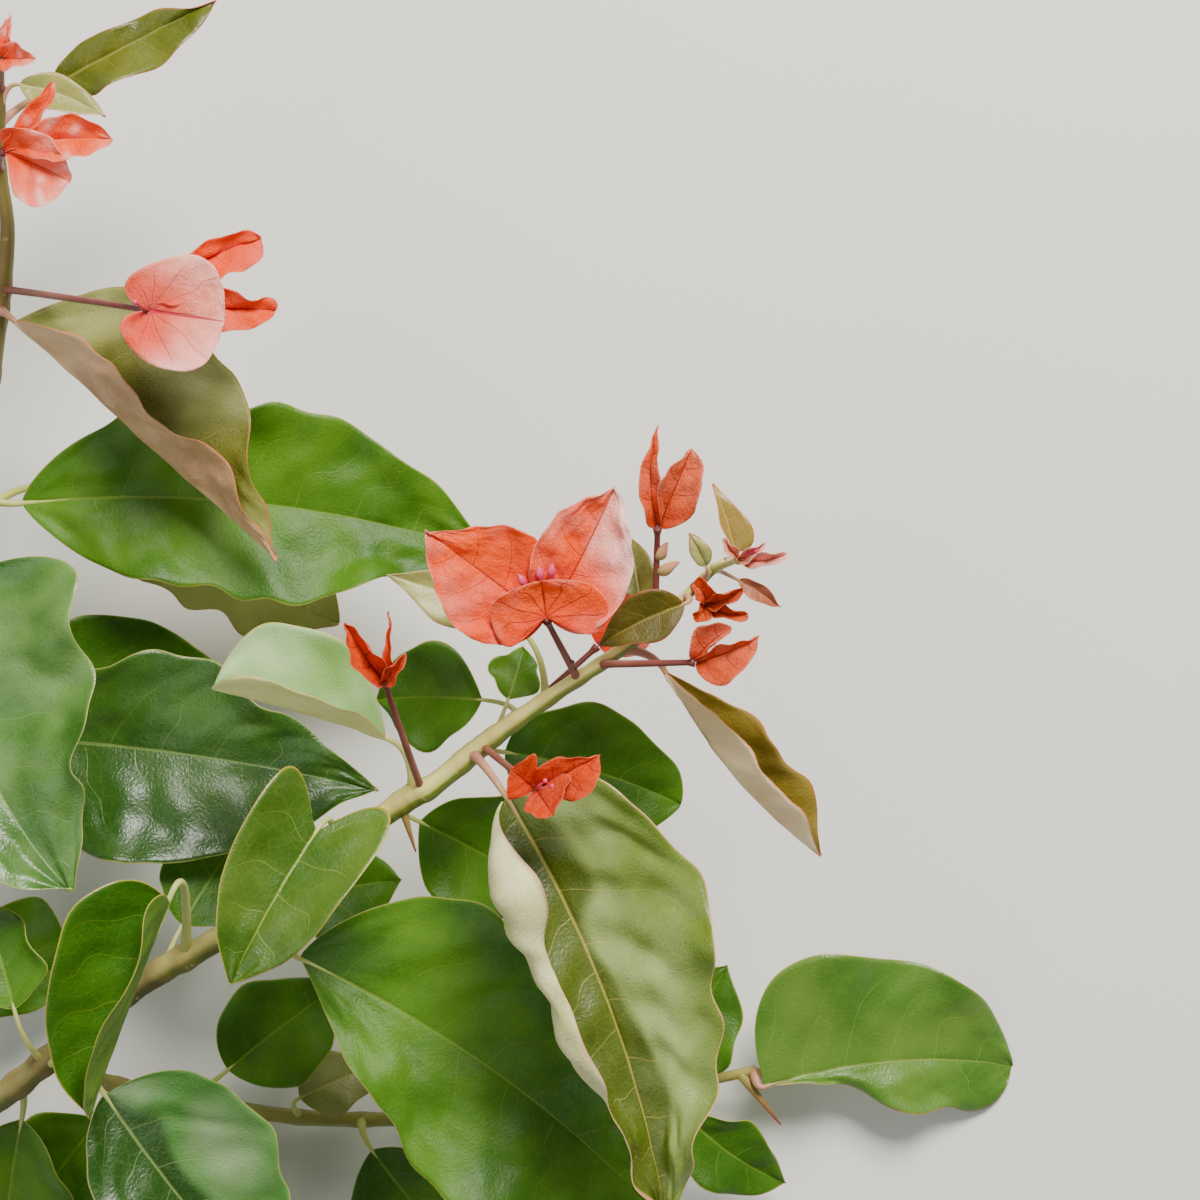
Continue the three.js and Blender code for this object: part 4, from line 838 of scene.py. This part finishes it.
def stem_finish(name, young, side, old, ring):
    """Stem: young skin towards the tip, painted paler as a highlight on the side that faces the light and
    a darker green as painted shade round the back, woody skin towards the foot by the woody field, darker
    rings at the leaf joints, long streaks and small corky dots."""
    finish, w, place = new_finish(name)
    cloud = cloudy(w, place, 90.0)
    woody = w.plus(w.less(cloud, 0.5), 0.5, w.field("woody"), clamp=True)
    turn = w.times(w.field("around"), 2 * np.pi)
    drawn_out = w.put("ShaderNodeCombineXYZ", X=w.times(w.field("along"), 9.0), Y=w.math("SINE", turn),
                      Z=w.math("COSINE", turn)).outputs[0]
    streak = w.noise(drawn_out, 3.0, 4.0, 0.6)
    # Painted highlight and shade: the young colour where the skin faces the light, the side colour round
    # the back.
    lit_share = w.plus(w.less(streak, 0.5), 0.5, w.field("sky"))
    skin = w.mix(w.ease(lit_share, 0.35, 0.95), paint(side), paint(young))
    colour = w.mix(w.times(woody, 0.85), skin, paint(old))
    colour = w.mix(w.times(w.ease(streak, 0.45, 0.7), w.plus(woody, 0.25, 0.08)), colour, paint(ring))
    dots = w.times(w.less(1.0, w.ease(w.cells(place, 420.0, "F1"), 0.12, 0.3)),
                   w.ease(w.noise(place, 130.0), 0.5, 0.62))
    colour = w.mix(w.times(dots, 0.35), colour, paint("C9B88C"))
    colour = w.mix(w.times(w.field("joint"), 0.28), colour, paint(ring))
    height = w.plus(dots, 0.5, w.plus(streak, 1.2, w.noise(place, 900.0, 3.0)))
    return dress(finish, w, colour, w.plus(woody, 0.25, 0.42), height, glow=0.05)


def stalk_finish(name, foot, tip, rough=0.45):
    """Petiole, stalk or flower tube: one colour at the foot and another at the tip, slightly streaked."""
    finish, w, place = new_finish(name)
    cloud = cloudy(w, place, 160.0)
    far = w.plus(w.less(cloud, 0.5), 0.5, w.field("along"), clamp=True)
    return dress(finish, w, w.mix(far, paint(foot), paint(tip)), w.plus(cloud, 0.15, rough - 0.06),
                 w.noise(place, 1300.0, 3.0), (0.4, 0.1), 0.08)


def cut_finish(name):
    """Fresh cut across the cane: pale wood in rings round a pith, by the distance from the middle."""
    finish, w, place = new_finish(name)
    across = w.field("across")
    rings = w.math("SINE", w.times(across, 34.0))
    colour = w.mix(w.ease(rings, -0.6, 1.0), paint("D9CD9C"), paint("C3B478"))
    colour = w.mix(w.ease(across, 0.22, 0.12), colour, paint("EFE8CF"))
    colour = w.mix(w.ease(across, 0.84, 0.92), colour, paint("7D8A46"))
    return dress(finish, w, colour, w.plus(w.noise(place, 1500.0), 0.2, 0.55))


def floor_finish():
    """Plain pale floor."""
    finish, w, place = new_finish("pale floor")
    return dress(finish, w, w.mix(w.noise(place, 6.0), paint("DCDAD5"), paint("E2E0DB")), 0.8)


UPPER = {
    "mature": leaf_finish("leaf, mature", "2A5402", "4E7A06", "748E2C", "8C8A38", 0.5, shine=0.3),
    "glossy": leaf_finish("leaf, dark glossy", "1A4004", "365C12", "748A42", "8E9048", 0.38),
    "light": leaf_finish("leaf, light green", "3C6A14", "5C8026", "8A9A48", "9A8440", 0.42),
    "sheen": leaf_finish("leaf, glossy", "265604", "6C9248", "8AA45A", "989850", 0.34),
    # The dark colour of the next two finishes is painted shade on part of the leaf.
    "grey": leaf_finish("leaf, grey green", "5C7418", "92A45C", "B4A450", "DC9C74", 0.4, 0.05, 0.36,
                        dark="4C5C10"),
    "two_green": leaf_finish("leaf, green with painted shade", "3C7A16", "8CA674", "8EA05A", "94985A", dark="204604"),
    "fresh": leaf_finish("leaf, fresh green", "245200", "44700A", "8C9A2C", "AC9430", 0.4, 0.05, 0.34),
    "heart": leaf_finish("leaf, heart", "2C5200", "54701E", "8C9838", "AC9430", 0.4, 0.06, 0.32),
    "pale_sheen": leaf_finish("leaf, pale glossy", "7FA850", "AECB90", "B8C890", "B0A864", 0.4),
    "olive": leaf_finish("leaf, olive", "5E6008", "A2A462", "B0AE62", "A86838", 0.42, 0.06),
    "dark_olive": leaf_finish("leaf, dark olive", "3E4A02", "686C18", "8C8A38", "9A5A2C", 0.4, 0.06),
    "pale_olive": leaf_finish("leaf, pale olive", "84883C", "ACAA68", "C2BC80", "C08A64", 0.42),
    "bronze": leaf_finish("leaf, bronze", "7C6A14", "A48C4C", "BC9858", "BC5C3C", 0.4, 0.06),
    "bronze_dark": leaf_finish("leaf, dark bronze", "3A3A02", "5C4E0C", "8C7C30", "862C1C", 0.5, 0.06,
                               shine=0.3),
    "rust": leaf_finish("leaf, rust", "86462A", "A8644A", "B4805C", "B44E3E", 0.4, 0.06),
}
LOWER = {name: leaf_finish("leaf back, " + label, *colours, rough, net, lines, raised=1.0)
         for name, label, colours, rough, net, lines in (
    ("pale", "pale green", ("86A052", "A6B878", "BAC68A", "B0A654"), 0.55, 0.05, 0.4),
    ("lime", "yellow green", ("466E00", "64861A", "98A848", "B09C38"), 0.5, 0.05, 0.35),
    ("cream", "cream", ("BCBC74", "DCD8A6", "7A7044", "E4A088"), 0.6, 0.1, 0.5),
    ("beige", "beige", ("D0CC74", "E8E49C", "E0DEA4", "C8A45C"), 0.6, 0.06, 0.35),
    ("blush", "blush", ("A87C50", "D4AE80", "E0C094", "C4603F"), 0.5, 0.08, 0.4),
    ("blush_pale", "pale blush", ("D8B888", "F8E4BC", "F0DAB4", "C4603F"), 0.5, 0.08, 0.4),
    ("rust", "rust", ("965238", "B46C4C", "C08864", "A84A38"), 0.5, 0.06, 0.35),
)}
PETIOLE = {"green": stalk_finish("petiole, green", "A8AC50", "BCC070"),
           "rosy": stalk_finish("petiole, rosy", "B47464", "B4A45C")}
BRACTS = {
    "coral": bract_finish("bract, coral", "E03200", "EE5008", "FFC2B8", "8C1A06", 0.24),
    "deep": bract_finish("bract, deep red", "B42400", "D24004", "EE8A70", "701206", 0.3),
    "brick": bract_finish("bract, brick", "A02C06", "C24A1C", "DC8468", "5A1206", 0.3),
    "dusky": bract_finish("bract, dusky rose", "C06C48", "D08470", "F0B8AE", "8C3C28", 0.3),
    "rosy": bract_finish("bract, rosy", "BC3C10", "D2562C", "EA9A84", "7A1E10", 0.36),
    "salmon": bract_finish("bract, salmon", "DC3000", "E84A0C", "FFA898", "A01038", 0.1, rib_width=0.62),
    "streaked": bract_finish("bract, streaked", "E23400", "EE500A", "F8A490", "B43018", 0.12, 0.4),
}
STALK = stalk_finish("bloom stalk", "8C5040", "682824")
FLOWER = stalk_finish("flower tube", "B04A28", "D83464", 0.4)
# A stem's first two colours are its painted lit side and its painted shaded side.
STEMS = {"cane": stem_finish("green cane", "E8DE7E", "667A12", "42380C", "8A6430"),
         "upright": stem_finish("brown shoot", "94803C", "6C6A20", "54381C", "4A2A18"),
         "low": stem_finish("low shoot", "A8A04C", "7C8430", "7A6A34", "86643C")}
GREEN_BUD = stalk_finish("closed bud", "A49A58", "BC7864", 0.5)
THORN = stalk_finish("thorn", "948A38", "80442C")
CUT = cut_finish("cut wood")


# The branch

lines = {name: limb_line(points) for name, points in SHOOTS.items()}


def foot(row):
    """Place on its limb's middle line where a leaf, bloom or thorn stands."""
    return lines[row["on"]][int(round(row["at"] * (LIMB_STEPS - 1))), :3]


def limb_swell(on, u, line_length):
    """How far the limb swells at its leaf joints: a bell e^-(x/b)^2 at each, 1 at its top."""
    spots = np.array([row["at"] for row in LEAVES + BLOOMS if row["on"] == on])
    away = (np.asarray(u)[..., None] - spots) * line_length
    return np.exp(-(away / JOINT_BELL) ** 2).max(-1)


def limb_piece(on, node, woody, rings, sides):
    """Limb with its true taper: ring radius swells at the leaf joints, is drawn into faint long ridges
    between them and roughens by woody(u), its woodiness at u along. Thorns stand on it, and the cane's
    first end takes the finish of a fresh cut."""
    line = limb_line(SHOOTS[on], rings)
    length = np.linalg.norm(np.diff(line[:, :3], axis=0), axis=1).sum()

    def dent(u, turn):
        bark = (ripple(turn * 2.2, u * length, 5, 6, 0.018)
                + ripple(turn * 3.0, u * length, 9, 2.2, 0.009))
        ridge = 0.03 * np.cos(5 * turn + 9 * u)
        return 1 + 0.16 * limb_swell(on, u[:, 0], length)[:, None] + ridge + bark * (0.6 + woody(u))

    points, quads, tris, fields = closed_tube(line[:, :3], line[:, 3], sides, dent)
    u = fields["along"]
    middle = np.vstack([np.repeat(line[:, :3], sides, axis=0), line[:1, :3], line[-1:, :3]])
    # How far the skin faces the light, for its painted highlight and shade.
    fields.update(woody=woody(u), joint=0.8 * limb_swell(on, u, length) ** 2, across=np.ones(len(u)),
                  sky=unit(points - middle) @ np.array(LIT_SIDE_WAY))
    fields["across"][-2:] = 0
    slots = np.zeros(len(quads) + len(tris), int)
    if on == "cane":
        slots[len(quads):len(quads) + sides] = 1
    parts = [part(points, quads, tris, slots, fields)]
    for thorn in [row for row in THORNS if row["on"] == on]:
        t = np.linspace(0, 1, THORN_STEPS)
        path = foot(thorn) + thorn["length"] * t[:, None] * towards(
            thorn["heading"] + 0 * t, thorn["rise"] - 14 * t)
        radii = thorn["radius"] * (1.15 - t) ** 1.1 / 1.15**1.1 + 0.08
        parts.append(tube_part(path, radii, STALK_SIDES, 2))
    lay(node, parts, [STEMS[on], CUT, THORN])


def leaf_piece(leaf, seed):
    """Leaf with its petiole, which swells where it leaves the limb and thins away below the rib."""
    root = foot(leaf)
    reach, heading, rise = leaf["petiole"]
    start = root + reach * towards(heading, rise)
    ahead = towards(leaf["heading"], leaf["rise"])
    points, quads, slots, fields, grid = leaf_body(start, leaf, seed)
    upper, lower, petiole = leaf["finish"]
    slim = min(1, 0.45 + leaf["length"] / 90)
    width = grid.shape[1]
    middle = grid[:, width // 2]
    down = -surface_normal(grid)[:, width // 2]
    shares, under, thin = np.array(PETIOLE_END).T
    steps = np.searchsorted(fields["along"][:len(middle) * width:width], shares)
    path = np.vstack([bend(root, start - 0.45 * reach * ahead, start, PETIOLE_STEPS),
                      middle[steps] + slim * under[:, None] * down[steps]])
    run = np.linspace(0, 1, PETIOLE_STEPS)
    radii = slim * np.concatenate([
        PETIOLE_RADIUS[0] + (PETIOLE_RADIUS[1] - PETIOLE_RADIUS[0]) * run
        + 0.35 * np.exp(-(run * reach / 2.2) ** 2), thin])
    parts = [part(points, quads, None, slots, fields), tube_part(path, radii, STALK_SIDES, 2)]
    lay("leaf_" + leaf["name"], parts, [UPPER[upper], LOWER[lower], PETIOLE[petiole]])


def bloom_piece(bloom, seed):
    """Bloom: a slender stalk with a small knob, its bracts, and flower tubes that swell to a bud."""
    root = foot(bloom)
    reach, heading, rise = bloom["stalk"]
    tip = root + reach * towards(heading, rise)
    path = bend(root, (root + tip) / 2 + np.array([0, 0, bloom["bow"]]), tip, STALK_STEPS)
    run = np.linspace(0, 1, STALK_STEPS)
    radii = (STALK_RADIUS[0] + (STALK_RADIUS[1] - STALK_RADIUS[0]) * run
             + 0.4 * np.exp(-(run * reach / 1.5) ** 2) + 0.45 * np.exp(-((1 - run) * reach / 1.1) ** 2))
    parts = [tube_part(path, radii, STALK_SIDES, 1)]
    for share, length, turned, rising, thick, number in bloom["buds"]:
        t = np.linspace(0, 1, BUD_STEPS)
        bud = path[int(share * (STALK_STEPS - 1))] + (0.3 + length * t[:, None]) * towards(turned, rising)
        body = 0.12 + thick * np.sin(np.pi * t**0.7) ** 0.8 * (1 - 0.25 * t)
        parts.append(tube_part(bud, body, STALK_SIDES, number,
                               lambda u, turn: 1 + 0.12 * np.cos(3 * turn + 5 * u)))
    for k, bract in enumerate(bloom["bracts"]):
        raised = np.array([0, 0, bract["raised"]])
        if bract["raised"]:
            neck = tip + np.linspace(-0.1, 1, 8)[:, None] * raised
            parts.append(tube_part(neck, np.full(len(neck), NECK_RADIUS), FLOWER_SIDES, 1))
        base = tip + raised + BRACT_START * towards(bract["heading"], bract["rise"])
        points, quads, fields = bract_body(base, bract, seed + 7 * k)
        parts.append(part(points, quads, None, 0, fields))
    for length, turned, rising in bloom["flowers"]:
        t = np.linspace(0, 1, FLOWER_STEPS)
        path = (tip + length * t[:, None] * towards(turned, rising)
                + np.array([0, 0, 0.8]) * (t * (1 - t))[:, None])
        radii = min(1, 0.35 + length / 18) * (
            0.42 + 0.28 * np.exp(-((t - 0.35) / 0.18) ** 2)
            + 0.55 * np.exp(-((t - 0.86) / 0.09) ** 2) - 0.4 * ease(t, 0.92, 1))
        parts.append(tube_part(path, radii, FLOWER_SIDES, 2))
    stalk = PETIOLE["green"] if bloom["name"] == "bud" else STALK
    finishes = [BRACTS[bloom["finish"]], stalk, FLOWER] + ([GREEN_BUD] if bloom["buds"] else [])
    lay("bloom_" + bloom["name"], parts, finishes)


limb_piece("cane", "cane", lambda u: ease(u, 0.62, 0.4), rings=612, sides=28)
limb_piece("upright", "upright_shoot", lambda u: 0.45 + 0.5 * ease(u, 0.9, 0.5),
           rings=260, sides=24)
limb_piece("low", "low_shoot", lambda u: 0.3 + 0.4 * ease(u, 0.6, 0.1), rings=260, sides=20)
for number, leaf in enumerate(LEAVES):
    leaf_piece(leaf, seed=100 + 13 * number)
for number, bloom in enumerate(BLOOMS):
    bloom_piece(bloom, seed=3000 + 31 * number)


# Floor, light and camera

def stage_floor():
    """Wide level square at floor height."""
    mesh = bpy.data.meshes.new("floor")
    mesh.from_pydata([(-4, -4, 0), (4, -4, 0), (4, 4, 0), (-4, 4, 0)], [], [(0, 1, 2, 3)])
    mesh.materials.append(floor_finish())
    floor = bpy.data.objects.new("floor", mesh)
    bpy.context.scene.collection.objects.link(floor)


def soft_light(name, place, aim, width, power, colour):
    """Square area light at a place, turned to look at a point."""
    data = bpy.data.lights.new(name, "AREA")
    data.shape, data.size, data.energy, data.color = "SQUARE", width, power, colour
    lamp = bpy.data.objects.new(name, data)
    way = unit(np.array(aim, float) - np.array(place, float))
    side = unit(np.cross(way, [0.0, 0.0, 1.0]))
    turn = np.eye(4)
    turn[:3, :3] = np.stack([side, np.cross(side, way), -way], 1)
    turn[:3, 3] = place
    lamp.matrix_world = Matrix(turn.tolist())
    bpy.context.scene.collection.objects.link(lamp)


stage_floor()
soft_light("key", (0.3, 0.8, 1.05), (0, 0, 0.05), 0.5, 36.0, (1.0, 0.97, 0.92))
soft_light("fill", (-0.7, -0.3, 1.0), (0, 0, 0.05), 1.0, 5.0, (0.95, 0.98, 1.0))
world = bpy.data.worlds.new("studio")
world.use_nodes = True
world.node_tree.nodes["Background"].inputs["Color"].default_value = (0.92, 0.96, 1.0, 1.0)
world.node_tree.nodes["Background"].inputs["Strength"].default_value = 0.28
bpy.context.scene.world = world

data = bpy.data.cameras.new("camera")
data.lens, data.sensor_width = LENS, SENSOR
data.clip_start, data.clip_end = 0.01, 50.0
camera = bpy.data.objects.new("camera", data)
camera.location = [c * MM for c in CAMERA_MM]
bpy.context.scene.collection.objects.link(camera)
bpy.context.scene.camera = camera
